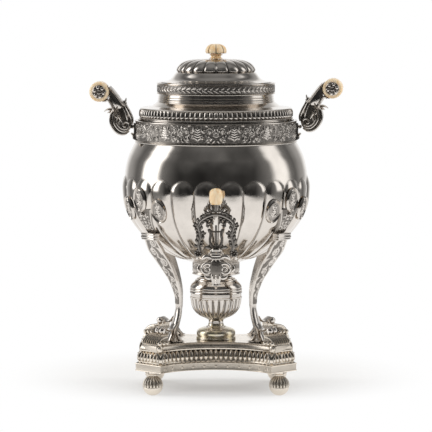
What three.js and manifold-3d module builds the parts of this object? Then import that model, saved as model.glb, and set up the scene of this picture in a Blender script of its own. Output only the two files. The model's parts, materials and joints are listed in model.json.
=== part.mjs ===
// A silver samovar: a hot-water urn on four legs over a spirit lamp, on a moulded base with ball feet.
// Millimetres, +Z up. The origin is on the axis of the urn, in the plane that the feet rest on.
// The tap faces -Y and the handles lie along X.
import * as THREE from "three";
import { mergeVertices } from "three/addons/utils/BufferGeometryUtils.js";
import Module from "manifold-3d";

const wasm = await Module();
wasm.setup();

// Clearances, the overrun of every cutting tool, and how far joined shapes run into each other
const seatGap = 0.3;
const slideGap = 0.6;
const overrun = 2;
const joinDepth = 2;
const sheetWall = 1.6;

// Ball feet
const ballRadius = 13.5;
const ballFlatDepth = 0.7;
const footNeckRadius = 5;
const footNeckHeight = 4;
const footStudRadius = 3;
const footStudLength = 9;
const footInsetX = 23.2;
const footInsetY = 22.5;

// Base: a lower plinth and an upper slab, both oblong with incurved sides and cut corners
const plinthHalfLength = 105.2;
const plinthHalfDepth = 85;
const plinthCornerCut = 33.9;
const plinthHeight = 26;
const plinthMouldingDepth = 6;
const plinthWall = 3;
const cornerPadRadius = 17;
const slabSetback = 5.4;
const slabCornerCut = 26;
const slabHeight = 9.2;
const slabMouldingDepth = 3;
const slabTopThickness = 3;
const longSideHollow = 38;
const shortSideHollow = 17;

// Legs, in the upright plane that runs out to a corner of the base
const legAzimuth = THREE.MathUtils.degToRad(52.5);
const legTopInset = 3.6;
const legWaistRadius = 61.3;
const legWaistHeight = 49.5;
const legTopHeight = 202;
const legTopWidth = 25;
const legThickness = 6;
const collarWidth = 27;
const collarDepth = 9.5;
const collarHeight = 9;
const scrollFootRadius = 90.8;
const scrollFootHeight = 17;
const scrollFootRoll = 6.6;
const scrollFootWidth = 26;
const spurRadius = 54.5;
const spurWidth = 8;
const spurHeight = 22;

// Corner blocks under the legs' scroll feet
const blockReach = 17.2;
const blockLength = 17;
const blockWidth = 35;
const blockRollRadius = 4;

// Palmettes of three oval medallions between each leg and the body
const medallionWidth = 24;
const medallionHeight = 33;
const medallionThickness = 3.6;
const palmetteRise = 44;
const sideMedallionDrop = 13;
const palmetteStemWidth = 13;
const palmetteStemThickness = 4;
const palmetteStemNarrowing = 1 / 3;
const palmetteStemReach = 1 / 4;

// Spirit lamp, standing on the slab
const lampRadius = 34.2;
const lampHeight = 81.5;
const lampFootRadius = 26;
const lampFootHeight = 20;
const lampSeamHeight = 63.5;
const lampWall = 1.6;
const lampFluteDepth = 1.4;
const lampFluteTopShare = 0.82;
const fontHeight = 56;
const wickTubeRadius = 6;
const wickTubeWall = 1.2;
const wickTubeLength = 33;
const wickTubeSeat = 9;
const wickLength = 35;

// Wind collar under the body
const windCollarRadius = 31.4;
const windCollarHeight = 17;
const windCollarGap = 2.5;

// Body, with convex lobes below and smooth above
const bodyRadius = 123.2;
const bodyHeight = 157.5;
const bodyLobeDepth = 4.5;
const bodyLobeTop = 113;
const bodyLobeFade = 9;
const bodyLobeArc = 0.42 * Math.PI;
const tapHoleRadius = 5;

// Band, shoulder and neck
const bandInset = 1.3;
const bandHeight = 28.5;
const bandWall = 2.4;
const bandLip = 2;
const bandLedge = 6;
const shoulderSetback = 3.4;
const shoulderTread = 26;
const neckWall = 1.6;
const neckHeight = 33.8;

// Lid
const lidRimOverhang = 2.6;
const lidRimHeight = 14.5;
const lidBezelDepth = 9.5;
const lidRimWall = 1.8;
const lidLedge = 8;
const domeHeight = 30.7;
const domeSetback = 4.6;
const domeWall = 1.4;
const domeLobeDepth = 1.6;
const knobStemRadius = 7.5;
const knobStemHeight = 6.6;
const knobRadius = 14;
const knobCapHeight = 12.8;
const knobPinRadius = 2.4;
const knobPinEnd = 2;
const knobNutRadius = 7;
const knobNutHeight = 4;

// Handles, given for the one on the +X side
const handlePlateDepth = 20;
const handleArmDepth = 29;
const handleReach = 47.9;
const handleRise = 60;
const handleFootRise = 5.8;
const handleFootHeight = 26;
const handleFootDepth = 30;
const handleBracketThickness = 6;
const rollRadius = 13;
const rollLength = 31;
const rollPinRadius = 2.6;
const rollCapRadius = 9.5;
const rollCapThickness = 4.5;
const rightHandleRaise = 4;
const rightHandleTurn = THREE.MathUtils.degToRad(5);

// Tap
const tapStandoff = 23.8;
const tapRise = 8.6;
const tapPipeRadius = 8.5;
const tapPipeStart = 32;
const tapFlangeRadius = 17;
const tapFlangeThickness = 3;
const tapBarrelRadius = 11.5;
const tapBarrelHeight = 26;
const tapBoreRadius = 6.8;
const tapTaper = 0.8;
const tapWaterway = 3.2;
const spoutRadius = 6.2;
const spoutLength = 11;
const plugGap = 0.35;
const plugHeadRadius = 10;
const plugHeadHeight = 7;
const plugStemRadius = 4.8;
const tapNutRadius = 10;
const tapNutHeight = 3;
const keyWidth = 55;
const keyHeight = 62;
const keyThickness = 4.4;
const lyreWidth = 17.7;
const lyreHeight = 24;
const lyreBar = 3;
const lyreStringHalf = 0.75;
const lyreStringThickness = 1.5;
const lyreStringHeight = 21.6;
const finialRadius = 8.5;
const finialHeight = 20.5;
const finialPinRadius = 2;
const finialPinLength = 9;

// Copies and steps
const bodyLobes = 24;
const lobeSteps = 3;
const lampFlutes = 28;
const domeLobeSteps = 2;
const roundSides = 36;
const smallSides = 16;
const ovalSides = 12;
const hollowSteps = 6;
const ballSteps = 7;
const blockSteps = 6;
const stemSteps = 4;
const nutSides = 6;

// Levels and radii that follow from the sizes above
const footPlaceX = plinthHalfLength - footInsetX;
const footPlaceY = plinthHalfDepth - footInsetY;
const slabHalfLength = plinthHalfLength - slabSetback;
const slabHalfDepth = plinthHalfDepth - slabSetback;
const plinthBottom = 2 * ballRadius - ballFlatDepth + footNeckHeight;
const plinthTop = plinthBottom + plinthHeight;
const slabTop = plinthTop + seatGap + slabHeight;
const lampBottom = slabTop + seatGap;
const lampTop = lampBottom + lampHeight;
const windCollarBottom = lampTop + windCollarGap;
const bodyBottom = windCollarBottom + windCollarHeight + seatGap;
const bodyTop = bodyBottom + bodyHeight;
const bandBottom = bodyTop + seatGap;
const bandTop = bandBottom + bandHeight;
const shoulderBottom = bandTop + seatGap;
const neckTop = shoulderBottom + neckHeight;
const rimBottom = neckTop + seatGap;
const rimTop = rimBottom + lidRimHeight;
const domeBottom = rimTop + seatGap;
const domeTop = domeBottom + domeHeight;
const tapReach = bodyRadius + tapStandoff;
const tapAxisHeight = bodyBottom + tapRise;
const blockOuterRadius = scrollFootRadius + blockReach;
const medallionRise = legTopHeight + collarHeight + palmetteRise;

// Outlines as shares, from bottom to top, of the radius and the height that each follows
const bodyOutlineShares = [
  [0.256, 0], [0.32, 0.017], [0.437, 0.046], [0.554, 0.093], [0.671, 0.155], [0.778, 0.23],
  [0.864, 0.314], [0.927, 0.397], [0.97, 0.49], [0.991, 0.582], [1, 0.657], [0.991, 0.732],
  [0.975, 0.799], [0.943, 0.874], [0.9, 0.941], [0.858, 1],
];
const plinthMouldingShares = [
  [-0.15, 0], [0, 0.04], [0, 0.4], [-0.25, 0.43], [-0.15, 0.6], [-0.3, 0.64], [-0.25, 0.76],
  [-0.5, 0.88], [-0.85, 0.96], [-1, 1],
];
const slabMouldingShares = [
  [-1, 0], [-0.25, 0.12], [0, 0.3], [0, 0.68], [-0.25, 0.84], [-0.75, 1],
];
const legUpperShares = [
  [1, 1], [0.88, 0.899], [0.783, 0.809], [0.592, 0.692], [0.437, 0.583], [0.301, 0.474],
  [0.165, 0.349], [0.024, 0.151], [0, 0],
];
const legLowerShares = [[0.032, 0.59], [0.182, 0.197]];
const legEndShares = [[-2.64, -0.59], [-1.48, -1.27], [-0.42, -1.106]];
const legWidthShares = [
  1, 1.02, 1, 0.95, 0.88, 0.76, 0.62, 0.47, 0.4, 0.42, 0.52, 0.74, 0.92, 1,
];
const lampBowlShares = [
  [0.289, 0.255], [0.292, 0.308], [0.421, 0.348], [0.635, 0.396], [0.807, 0.47], [0.921, 0.567],
  [0.965, 0.64], [1, 0.745],
];
const lampUpperShares = [
  [1, 0], [1, 0.12], [0.97, 0.28], [0.921, 0.54], [0.807, 0.8], [0.65, 1],
];
const lampFootShares = [
  [1, 0], [1, 0.37], [0.935, 0.6], [0.708, 0.76], [0.454, 0.86], [0.385, 1],
];
const shoulderShares = [
  [0.883, 0], [1, 0.08], [1.04, 0.24], [1, 0.4], [0.903, 0.44], [0.922, 0.48], [0.495, 0.56],
  [0.184, 0.68],
];
const shoulderInnerShares = [
  [0.806, 0], [0.903, 0.12], [0.903, 0.34], [0.806, 0.42], [0.437, 0.5], [0.107, 0.62],
];
const neckStartShare = 0.8;
const domeShares = [
  [1, 0], [0.985, 0.06], [0.85, 0.14], [0.754, 0.346], [0.7, 0.5], [0.668, 0.6], [0.665, 0.66],
  [0.63, 0.76], [0.575, 0.9], [0.466, 0.985], [0.3, 1],
];
const collarShares = [
  [0, 0], [0.8, 0], [1, 0.15], [1, 0.4], [0.8, 0.5], [1, 0.6], [1, 0.85], [0.8, 1], [0, 1],
];
const spurShares = [[0, 0], [0.4, 0], [0.72, 0.3], [0.45, 1], [0.34, 0.95], [0.18, 0.4]];
const medallionShares = [[1, 0], [0.93, 0.5], [0.55, 0.92]];
const windCollarShares = [
  [0.7, 0], [0.86, 0.16], [0.97, 0.4], [1, 0.55], [1, 1],
];
const knobCapShares = [
  [0.5, 0], [0.9, 0.12], [1, 0.38], [0.93, 0.66], [0.66, 0.9], [0.3, 1],
];
const knobStemShares = [
  [1.15, 0], [0.9, 0.25], [0.85, 0.6], [1, 1],
];
const handleScrollShares = [
  [0.14, 0.382], [0.18, 0.535], [0.288, 0.733], [0.424, 0.81], [0.562, 0.975], [0.658, 0.602],
  [0.877, 0.568], [0.727, 0.533], [0.712, 0.427], [0.658, 0.228], [0.562, 0.13], [0.397, 0.063],
  [0.232, 0.087], [0.14, 0.167],
];
const handleArmShares = [
  [0.424, 0.81], [0.562, 0.975], [0.712, 1.095], [0.9, 1.1], [0.808, 0.887], [0.727, 0.755],
  [0.658, 0.602], [0.5, 0.62],
];
const keyOuterShares = [
  [0.14, 0], [0.3, 0.02], [0.47, 0.03], [0.5, 0.12], [0.4, 0.2], [0.37, 0.34], [0.44, 0.47],
  [0.5, 0.58], [0.42, 0.66], [0.32, 0.7], [0.27, 0.83], [0.16, 0.95], [0.05, 1],
];
const keyInnerShares = [
  [0.14, 0.1], [0.33, 0.12], [0.28, 0.22], [0.26, 0.34], [0.31, 0.46], [0.32, 0.55],
  [0.24, 0.63], [0.19, 0.72], [0.13, 0.84], [0.05, 0.89],
];
const lyreShares = [
  [0.18, 0], [0.4, 0.25], [0.5, 0.5], [0.4, 0.75], [0.5, 0.95], [0.4, 1], [0.22, 0.8], [0.3, 0.5],
  [0.2, 0.32],
];
const lyreYokeShares = [[0.4, 0.72], [0.4, 0.8]];
const finialShares = [
  [0.8, 0], [0.95, 0.1], [1, 0.4], [0.9, 0.75], [0.65, 0.93], [0.3, 1],
];

// Radii of the round pieces on the body, each set in from the one below
const bandRadius = bodyRadius * bodyOutlineShares.at(-1)[0] - bandInset;
const shoulderRadius = bandRadius - shoulderSetback;
const neckRadius = shoulderRadius - shoulderTread;
const lidRimRadius = neckRadius + lidRimOverhang;
const domeRadius = lidRimRadius - domeSetback;

// Joins a mesh's shared corners, makes it a solid, and turns back one whose faces point inwards.
function solid(geometry) {
  const bare = geometry.clone();
  bare.deleteAttribute("normal");
  bare.deleteAttribute("uv");
  const merged = mergeVertices(bare);
  const vertProperties = merged.attributes.position.array;
  const corners = new Uint32Array(merged.index.array);
  const made = new wasm.Manifold(new wasm.Mesh({ numProp: 3, vertProperties, triVerts: corners }));
  if (made.volume() >= 0) return made;
  const triVerts = corners.slice().reverse();
  return new wasm.Manifold(new wasm.Mesh({ numProp: 3, vertProperties, triVerts }));
}

const join = (...solids) => solids.reduce((whole, next) => whole.add(next));
const cut = (whole, ...tools) => tools.reduce((left, tool) => left.subtract(tool), whole);

function geometryOf(made) {
  const { vertProperties, triVerts } = made.getMesh();
  const geometry = new THREE.BufferGeometry();
  geometry.setAttribute("position", new THREE.BufferAttribute(vertProperties, 3));
  geometry.setIndex(new THREE.BufferAttribute(triVerts, 1));
  geometry.computeVertexNormals();
  return geometry;
}

// A body of revolution about Z. The outline's points are [radius, height].
function turned(outline, sides = roundSides) {
  const points = outline.map(([radius, height]) => new THREE.Vector2(radius, height));
  return solid(new THREE.LatheGeometry(points, sides).rotateX(Math.PI / 2));
}

// A body of revolution whose outline is closed onto the axis at both ends.
function turnedSolid(outline, sides = roundSides) {
  return turned([[0, outline[0][1]], ...outline, [0, outline.at(-1)[1]]], sides);
}

// A ring whose closed outline doesn't touch the axis.
function turnedRing(outline, sides = roundSides) {
  return turned([...outline, outline[0]], sides);
}

// A table of shares as real [radius, height] points.
function outlineFrom(shares, radius, height, base, inset = 0) {
  return shares.map(([across, up]) => [radius * across - inset, base + height * up]);
}

// A cylinder along Z that starts at a height.
function rod(radius, bottom, length, sides = smallSides) {
  const shape = new THREE.CylinderGeometry(radius, radius, length, sides);
  return shape.rotateX(Math.PI / 2).translate(0, 0, bottom + length / 2);
}

// A cylinder along Y, centred on a point.
function crossRod(radius, length, x, y, z, sides = smallSides) {
  return new THREE.CylinderGeometry(radius, radius, length, sides).translate(x, y, z);
}

// A closed body through rings of points, each ring with as many points, closed by flat ends.
function loft(rings) {
  const count = rings[0].length;
  const points = rings.flat();
  const faces = [];
  for (let ring = 0; ring < rings.length - 1; ring++) {
    for (let index = 0; index < count; index++) {
      const low = ring * count + index;
      const lowNext = ring * count + ((index + 1) % count);
      faces.push(low, lowNext, lowNext + count, low, lowNext + count, low + count);
    }
  }
  for (const [ring, start] of [[rings[0], 0], [rings.at(-1), points.length - count]]) {
    const middle = ring.reduce((sum, point) => sum.clone().add(point)).divideScalar(count);
    const centre = points.push(middle) - 1;
    for (let index = 0; index < count; index++) {
      const first = start + index;
      const second = start + ((index + 1) % count);
      if (start === 0) faces.push(centre, second, first);
      else faces.push(centre, first, second);
    }
  }
  const geometry = new THREE.BufferGeometry().setFromPoints(points);
  geometry.setIndex(faces);
  return solid(geometry);
}

// A plate in the XZ plane, its thickness along Y, from [x, z] points.
function plate(outline, thickness, holes = []) {
  const shape = new THREE.Shape(outline.map(([x, z]) => new THREE.Vector2(x, z)));
  shape.holes = holes.map((hole) => new THREE.Path(hole.map(([x, z]) => new THREE.Vector2(x, z))));
  const options = { depth: thickness, bevelEnabled: false, steps: 1 };
  const geometry = new THREE.ExtrudeGeometry(shape, options).rotateX(Math.PI / 2);
  return solid(geometry.translate(0, thickness / 2, 0));
}

// Places a solid in its own group's frame as a named mesh of one finish.
function piece(name, made, finish) {
  const colours = {
    silver: { color: "#b8b3aa", roughness: 0.22, metalness: 1 },
    gilt: { color: "#c8b184", roughness: 0.3, metalness: 1 },
    ivory: { color: "#e6d2a8", roughness: 0.45, metalness: 0 },
    wick: { color: "#d8d2c2", roughness: 0.95, metalness: 0 },
  };
  const mesh = new THREE.Mesh(geometryOf(made), new THREE.MeshStandardMaterial(colours[finish]));
  mesh.name = name;
  return mesh;
}

// The oblong plan with incurved sides and cut corners, grown outwards by a moulding's offset.
function basePlan(halfLength, halfDepth, cornerCut, offset, height) {
  const cornerReach = cornerCut + (2 - Math.SQRT2) * offset;
  const points = [];
  for (let side = 0; side < 4; side++) {
    const long = side % 2 === 0;
    const reach = (long ? halfLength : halfDepth) + offset - cornerReach;
    const edge = (long ? halfDepth : halfLength) + offset;
    const hollow = long ? longSideHollow : shortSideHollow;
    const bend = (reach * reach + hollow * hollow) / (2 * hollow);
    for (let step = 0; step <= hollowSteps; step++) {
      const along = reach * ((2 * step) / hollowSteps - 1);
      const inward = Math.sqrt(bend * bend - along * along) - (bend - hollow);
      const point = new THREE.Vector3(along, inward - edge, height);
      points.push(point.applyAxisAngle(new THREE.Vector3(0, 0, 1), (side * Math.PI) / 2));
    }
  }
  return points;
}

// The lower plinth: a moulded frame, open below between solid corner pads that hold the feet.
function basePlinth() {
  const rings = plinthMouldingShares.map(([out, up]) =>
    basePlan(plinthHalfLength, plinthHalfDepth, plinthCornerCut, out * plinthMouldingDepth,
      plinthBottom + up * plinthHeight));
  const inset = -(plinthMouldingDepth + plinthWall);
  const recess = [plinthBottom - overrun, plinthTop - plinthWall].map((height) =>
    basePlan(plinthHalfLength, plinthHalfDepth, plinthCornerCut, inset, height));
  const atFeet = (radius, length) => footPlaces().map(([x, y]) =>
    solid(rod(radius, plinthBottom - overrun, length + overrun).translate(x, y, 0)));
  const pads = atFeet(cornerPadRadius, plinthHeight);
  const sockets = atFeet(footStudRadius + seatGap, footStudLength);
  return cut(loft(rings), cut(loft(recess), ...pads), ...sockets);
}

// The upper slab: a moulded plate, hollow below.
function baseSlab() {
  const rings = slabMouldingShares.map(([out, up]) =>
    basePlan(slabHalfLength, slabHalfDepth, slabCornerCut, out * slabMouldingDepth,
      plinthTop + seatGap + up * slabHeight));
  const inset = -(slabMouldingDepth + plinthWall + plinthWall);
  const recess = [plinthTop - overrun, slabTop - slabTopThickness].map((height) =>
    basePlan(slabHalfLength, slabHalfDepth, slabCornerCut + plinthWall, inset, height));
  return cut(loft(rings), loft(recess));
}

function footPlaces() {
  return [-1, 1].flatMap((back) => [-1, 1].map((side) => [side * footPlaceX, back * footPlaceY]));
}

// A ball with a flat to stand on, a short neck and a stud that enters the plinth's corner pad.
function ballFoot() {
  const flatAngle = Math.acos((ballRadius - ballFlatDepth) / ballRadius);
  const neckAngle = Math.PI - Math.asin(footNeckRadius / ballRadius);
  const centre = ballRadius - ballFlatDepth;
  const ball = [];
  for (let step = 0; step <= ballSteps; step++) {
    const angle = flatAngle + ((neckAngle - flatAngle) * step) / ballSteps;
    ball.push([ballRadius * Math.sin(angle), centre - ballRadius * Math.cos(angle)]);
  }
  const studTop = plinthBottom + footStudLength - seatGap;
  const neck = [
    [footNeckRadius, plinthBottom - seatGap],
    [footStudRadius, plinthBottom - seatGap],
    [footStudRadius, studTop],
  ];
  return turnedSolid([...ball, ...neck], smallSides);
}

// The body's crest radius at a height, and how fast it grows there.
function bodyRadiusAt(height) {
  const outline = outlineFrom(bodyOutlineShares, bodyRadius, bodyHeight, bodyBottom);
  const above = outline.findIndex(([, z]) => z >= height);
  const [lowRadius, low] = outline[Math.max(above, 1) - 1];
  const [highRadius, high] = outline[Math.max(above, 1)];
  const slope = (highRadius - lowRadius) / (high - low);
  return { radius: lowRadius + slope * (height - low), slope };
}

// The collar's inner face, which touches the body, in a leg's own plane.
function collarInnerRadius() {
  return bodyRadiusAt(legTopHeight + collarHeight).radius + seatGap;
}

// A leg: a crowned strap from its collar down to a scroll foot, with a spur behind.
function leg() {
  const inner = collarInnerRadius();
  const top = new THREE.Vector2(inner + legTopInset, legTopHeight + joinDepth);
  const waist = new THREE.Vector2(legWaistRadius, slabTop + legWaistHeight);
  const foot = new THREE.Vector2(scrollFootRadius, slabTop + scrollFootHeight);
  const between = (from, to, shares) => shares.map(([out, up]) =>
    new THREE.Vector2(from.x + (to.x - from.x) * out, from.y + (to.y - from.y) * up));
  const path = [
    ...between(waist, top, legUpperShares),
    ...between(new THREE.Vector2(waist.x, foot.y), new THREE.Vector2(foot.x, waist.y), legLowerShares),
    ...legEndShares.map(([out, up]) =>
      new THREE.Vector2(foot.x + out * scrollFootRoll, foot.y + up * scrollFootRoll)),
  ];
  const rings = path.map((point, index) => {
    const before = path[Math.max(index - 1, 0)];
    const after = path[Math.min(index + 1, path.length - 1)];
    const run = after.clone().sub(before).normalize();
    const half = (legTopWidth * legWidthShares[index]) / 2;
    const rim = legThickness / 2;
    const section = [[-half, rim], [half, rim], [half, -rim / 2], [0, -rim], [-half, -rim / 2]];
    return section.map(([across, depth]) =>
      new THREE.Vector3(point.x + depth * run.y, across, point.y - depth * run.x));
  });
  const collar = plate(
    collarShares.map(([out, up]) => [inner + collarDepth * out, legTopHeight + collarHeight * up]),
    collarWidth);
  const spurReach = scrollFootRadius - spurRadius;
  const spur = plate(
    spurShares.map(([out, up]) => [spurRadius + spurReach * out, lampBottom + spurHeight * up]),
    spurWidth);
  const roll = solid(crossRod(scrollFootRoll, scrollFootWidth, foot.x, 0, foot.y));
  return join(loft(rings), collar, spur, roll);
}

// A quarter-round block under a scroll foot, with a small roll at each outer corner.
function cornerBlock() {
  const height = scrollFootHeight - scrollFootRoll - 2 * seatGap;
  const inner = blockOuterRadius - blockLength;
  const outline = [[inner, lampBottom]];
  for (let step = 0; step <= blockSteps; step++) {
    const angle = (Math.PI / 2) * (step / blockSteps);
    outline.push([inner + blockLength * Math.cos(angle), lampBottom + height * Math.sin(angle)]);
  }
  const rolls = [-1, 1].map((side) =>
    solid(new THREE.CylinderGeometry(blockRollRadius, blockRollRadius, blockLength / 2, smallSides / 2)
      .rotateZ(Math.PI / 2)
      .translate(blockOuterRadius - blockLength / 2, (side * blockWidth) / 2,
        lampBottom + blockRollRadius)));
  return join(plate(outline, blockWidth), ...rolls);
}

// One oval medallion lying on the body at an angle from the leg's plane.
function medallion(angle, height) {
  const points = [[0, 0], ...medallionShares, [0, 1]].map(([x, y]) => new THREE.Vector2(x, y));
  const shape = new THREE.LatheGeometry(points, ovalSides);
  const { radius, slope } = bodyRadiusAt(height);
  shape.scale(medallionWidth / 2, medallionThickness, medallionHeight / 2);
  shape.rotateZ(-Math.PI / 2).rotateY(Math.atan(slope));
  return solid(shape.translate(radius + seatGap, 0, height).rotateZ(angle));
}

// A stem that rises from the collar to a medallion, close to the body.
function palmetteStem(angle, topHeight) {
  const bottom = legTopHeight + collarHeight + seatGap;
  const rings = [];
  for (let step = 0; step <= stemSteps; step++) {
    const share = step / stemSteps;
    const height = bottom + (topHeight - bottom) * share;
    const inner = bodyRadiusAt(height).radius + seatGap;
    const half = (palmetteStemWidth / 2) * (1 - share * palmetteStemNarrowing);
    const corners = [
      [inner, -half], [inner + palmetteStemThickness, -half],
      [inner + palmetteStemThickness, half], [inner, half],
    ];
    const turn = angle * Math.sqrt(share);
    rings.push(corners.map(([x, y]) =>
      new THREE.Vector3(x, y, height).applyAxisAngle(new THREE.Vector3(0, 0, 1), turn)));
  }
  return loft(rings);
}

function palmette() {
  const lobeAngle = (2 * Math.PI) / bodyLobes;
  const parts = [-1, 0, 1].flatMap((side) => {
    const height = medallionRise - Math.abs(side) * sideMedallionDrop;
    return [
      medallion(side * lobeAngle, height),
      palmetteStem(side * lobeAngle, height - medallionHeight * palmetteStemReach),
    ];
  });
  return join(...parts);
}

function lampOutline(shares, inset = 0) {
  return outlineFrom(shares, lampRadius, lampHeight, lampBottom, inset);
}

// A loft whose rings sink in places: waves(column, radius, height) gives how deep.
function wavyTurned(outline, columns, waves) {
  return loft(outline.map(([radius, height]) => {
    const ring = [];
    for (let column = 0; column < columns; column++) {
      const angle = (2 * Math.PI * column) / columns;
      const here = radius - waves(column, radius, height);
      ring.push(new THREE.Vector3(here * Math.cos(angle), here * Math.sin(angle), height));
    }
    return ring;
  }));
}

function lampFoot() {
  const outline = outlineFrom(lampFootShares, lampFootRadius, lampFootHeight, lampBottom);
  return turnedSolid(outline, lampFlutes);
}

// The lamp's fluted vase, open above for the font.
function lampBowl() {
  const fluteTop = lampBottom + lampSeamHeight * lampFluteTopShare;
  const base = lampBottom + lampFootHeight + seatGap;
  const outline = lampOutline(lampBowlShares);
  outline[0][1] = base;
  outline.push([lampRadius, lampBottom + lampSeamHeight - seatGap]);
  const flutes = (column, radius, height) =>
    column % 2 && height < fluteTop ? (lampFluteDepth * radius) / lampRadius : 0;
  const inner = lampOutline(lampBowlShares.slice(2), lampWall + lampFluteDepth);
  inner.push([lampRadius - lampWall, lampBottom + lampSeamHeight + overrun]);
  return cut(wavyTurned(outline, 2 * lampFlutes, flutes), turnedSolid(inner, smallSides));
}

// The lamp's shoulder, a ring whose mouth lets the flame out.
function lampShoulder() {
  const base = lampBottom + lampSeamHeight;
  const height = lampHeight - lampSeamHeight;
  const outer = outlineFrom(lampUpperShares, lampRadius, height, base);
  const inner = outlineFrom(lampUpperShares.toReversed(), lampRadius, height, base, lampWall);
  return turnedRing([...outer, ...inner], lampFlutes);
}

// The spirit font inside the vase, a closed can with the wick tube on top.
function lampFont() {
  const inset = lampWall + lampFluteDepth + slideGap;
  const outline = lampOutline(lampBowlShares.slice(3, 7), inset);
  outline.push([outline.at(-1)[0], lampBottom + fontHeight]);
  const whole = turnedSolid(outline, smallSides);
  const bore = solid(rod(wickTubeRadius + seatGap, lampBottom + fontHeight - wickTubeSeat,
    wickTubeSeat + overrun));
  return cut(whole, bore);
}

function wickTube() {
  const bottom = lampBottom + fontHeight - wickTubeSeat + seatGap;
  const inner = wickTubeRadius - wickTubeWall;
  return turnedRing([
    [inner, bottom], [wickTubeRadius, bottom],
    [wickTubeRadius, bottom + wickTubeLength], [inner, bottom + wickTubeLength],
  ], smallSides);
}

function wick() {
  const bottom = lampBottom + fontHeight - wickTubeSeat + seatGap;
  return solid(rod(wickTubeRadius - wickTubeWall - seatGap, bottom, wickLength, smallSides));
}

// The open ring under the body that shelters the flame.
function windCollar() {
  const outer = outlineFrom(windCollarShares, windCollarRadius, windCollarHeight, windCollarBottom);
  const inner = outlineFrom(windCollarShares.toReversed(), windCollarRadius, windCollarHeight,
    windCollarBottom, sheetWall);
  return turnedRing([...outer, ...inner], lampFlutes);
}

// The body: a hollow shell, smooth above, with convex lobes below that end in round arches.
function bodyShell() {
  const columns = bodyLobes * lobeSteps;
  const bulge = (across) => Math.cos(across * bodyLobeArc);
  const halfPitch = (Math.PI * bodyRadius) / bodyLobes;
  const waves = (column, radius, height) => {
    const across = (2 * (column % lobeSteps)) / lobeSteps - 1;
    const arch = bodyBottom + bodyLobeTop - halfPitch * (1 - Math.sqrt(1 - across * across));
    const fade = THREE.MathUtils.clamp((arch - height) / bodyLobeFade, 0, 1);
    const sink = (1 - bulge(across)) / (1 - bulge(1));
    return (bodyLobeDepth * fade * sink * radius) / bodyRadius;
  };
  const outline = outlineFrom(bodyOutlineShares, bodyRadius, bodyHeight, bodyBottom);
  const hollow = outlineFrom(bodyOutlineShares, bodyRadius, bodyHeight, bodyBottom + sheetWall,
    bodyLobeDepth + sheetWall).filter((point, index) => index % 2 === 1 || index === 0);
  hollow.push([hollow.at(-1)[0], bodyTop + overrun]);
  const tapHole = solid(crossRod(tapHoleRadius, bodyRadius, 0, -bodyRadius / 2 - tapHoleRadius,
    tapAxisHeight));
  return cut(wavyTurned(outline, columns, waves), turnedSolid(hollow), tapHole);
}

// The engraved band between two lips, with a ledge inside that carries the shoulder.
function bodyBand() {
  const inner = bandRadius - bandWall;
  const ledge = bandTop - bandLip;
  return turnedRing([
    [inner, bandBottom], [bandRadius + bandLip, bandBottom],
    [bandRadius + bandLip, bandBottom + bandLip], [bandRadius, bandBottom + bandLip],
    [bandRadius, ledge], [bandRadius + bandLip, ledge],
    [bandRadius + bandLip, bandTop], [inner - bandLedge, bandTop],
    [inner - bandLedge, ledge], [inner, ledge],
  ]);
}

// The shoulder ring, the cove above it and the neck, as one raised shell.
function shoulder() {
  const outer = outlineFrom(shoulderShares, shoulderTread, neckHeight, shoulderBottom, -neckRadius);
  const inner = outlineFrom(shoulderInnerShares, shoulderTread, neckHeight, shoulderBottom, -neckRadius);
  const neckStart = shoulderBottom + neckHeight * neckStartShare;
  outer.push([neckRadius, neckStart], [neckRadius, neckTop]);
  inner.push([neckRadius - neckWall, neckStart - neckWall], [neckRadius - neckWall, neckTop]);
  return turnedRing([...outer, ...inner.toReversed()]);
}

// The lid's rim: a band that rests on the neck, and a bezel that hangs inside it.
function lidRim() {
  const bezel = neckRadius - neckWall - slideGap;
  const inner = bezel - lidRimWall;
  return turnedRing([
    [inner, rimBottom - lidBezelDepth], [bezel, rimBottom - lidBezelDepth], [bezel, rimBottom],
    [lidRimRadius, rimBottom], [lidRimRadius, rimTop - lidRimWall],
    [lidRimRadius - lidRimWall, rimTop], [inner - lidLedge, rimTop],
    [inner - lidLedge, rimTop - lidRimWall], [inner, rimTop - lidRimWall],
  ]);
}

// The lid's domed top, with round lobes on its crown.
function lidDome() {
  const columns = bodyLobes * domeLobeSteps;
  const crown = domeRadius * domeShares[6][0];
  const foot = domeBottom + domeHeight * domeShares[4][1];
  const waves = (column, radius, height) => {
    if (column % domeLobeSteps || height < foot) return 0;
    return height < domeTop ? (domeLobeDepth * radius) / crown : 0;
  };
  const outline = outlineFrom(domeShares, domeRadius, domeHeight, domeBottom);
  const hollow = outlineFrom(domeShares, domeRadius, domeHeight, domeBottom - domeWall,
    domeWall + domeLobeDepth).filter((point, index) => index % 2 === 0);
  hollow.unshift([hollow[0][0], domeBottom - overrun]);
  const pinHole = solid(rod(knobPinRadius + seatGap, domeBottom, domeHeight + overrun));
  return cut(wavyTurned(outline, columns, waves), turnedSolid(hollow), pinHole);
}

// A pin that holds the ivory knob, from inside the cap down to its nut below the dome.
function knobPin() {
  const bottom = domeTop - domeWall - domeLobeDepth - knobNutHeight - knobPinEnd;
  const top = domeTop + knobStemHeight + knobCapHeight / 2;
  return solid(rod(knobPinRadius, bottom, top - bottom, smallSides));
}

function knobNut() {
  const top = domeTop - domeWall - seatGap;
  const bore = rod(knobPinRadius + seatGap, top - knobNutHeight - overrun,
    knobNutHeight + 2 * overrun);
  return cut(solid(rod(knobNutRadius, top - knobNutHeight, knobNutHeight, nutSides)), solid(bore));
}

function knobStem() {
  const outline = outlineFrom(knobStemShares, knobStemRadius, knobStemHeight - seatGap,
    domeTop + seatGap);
  const bore = rod(knobPinRadius + seatGap, domeTop - overrun, knobStemHeight + 2 * overrun);
  return cut(turnedSolid(outline, smallSides), solid(bore));
}

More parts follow.
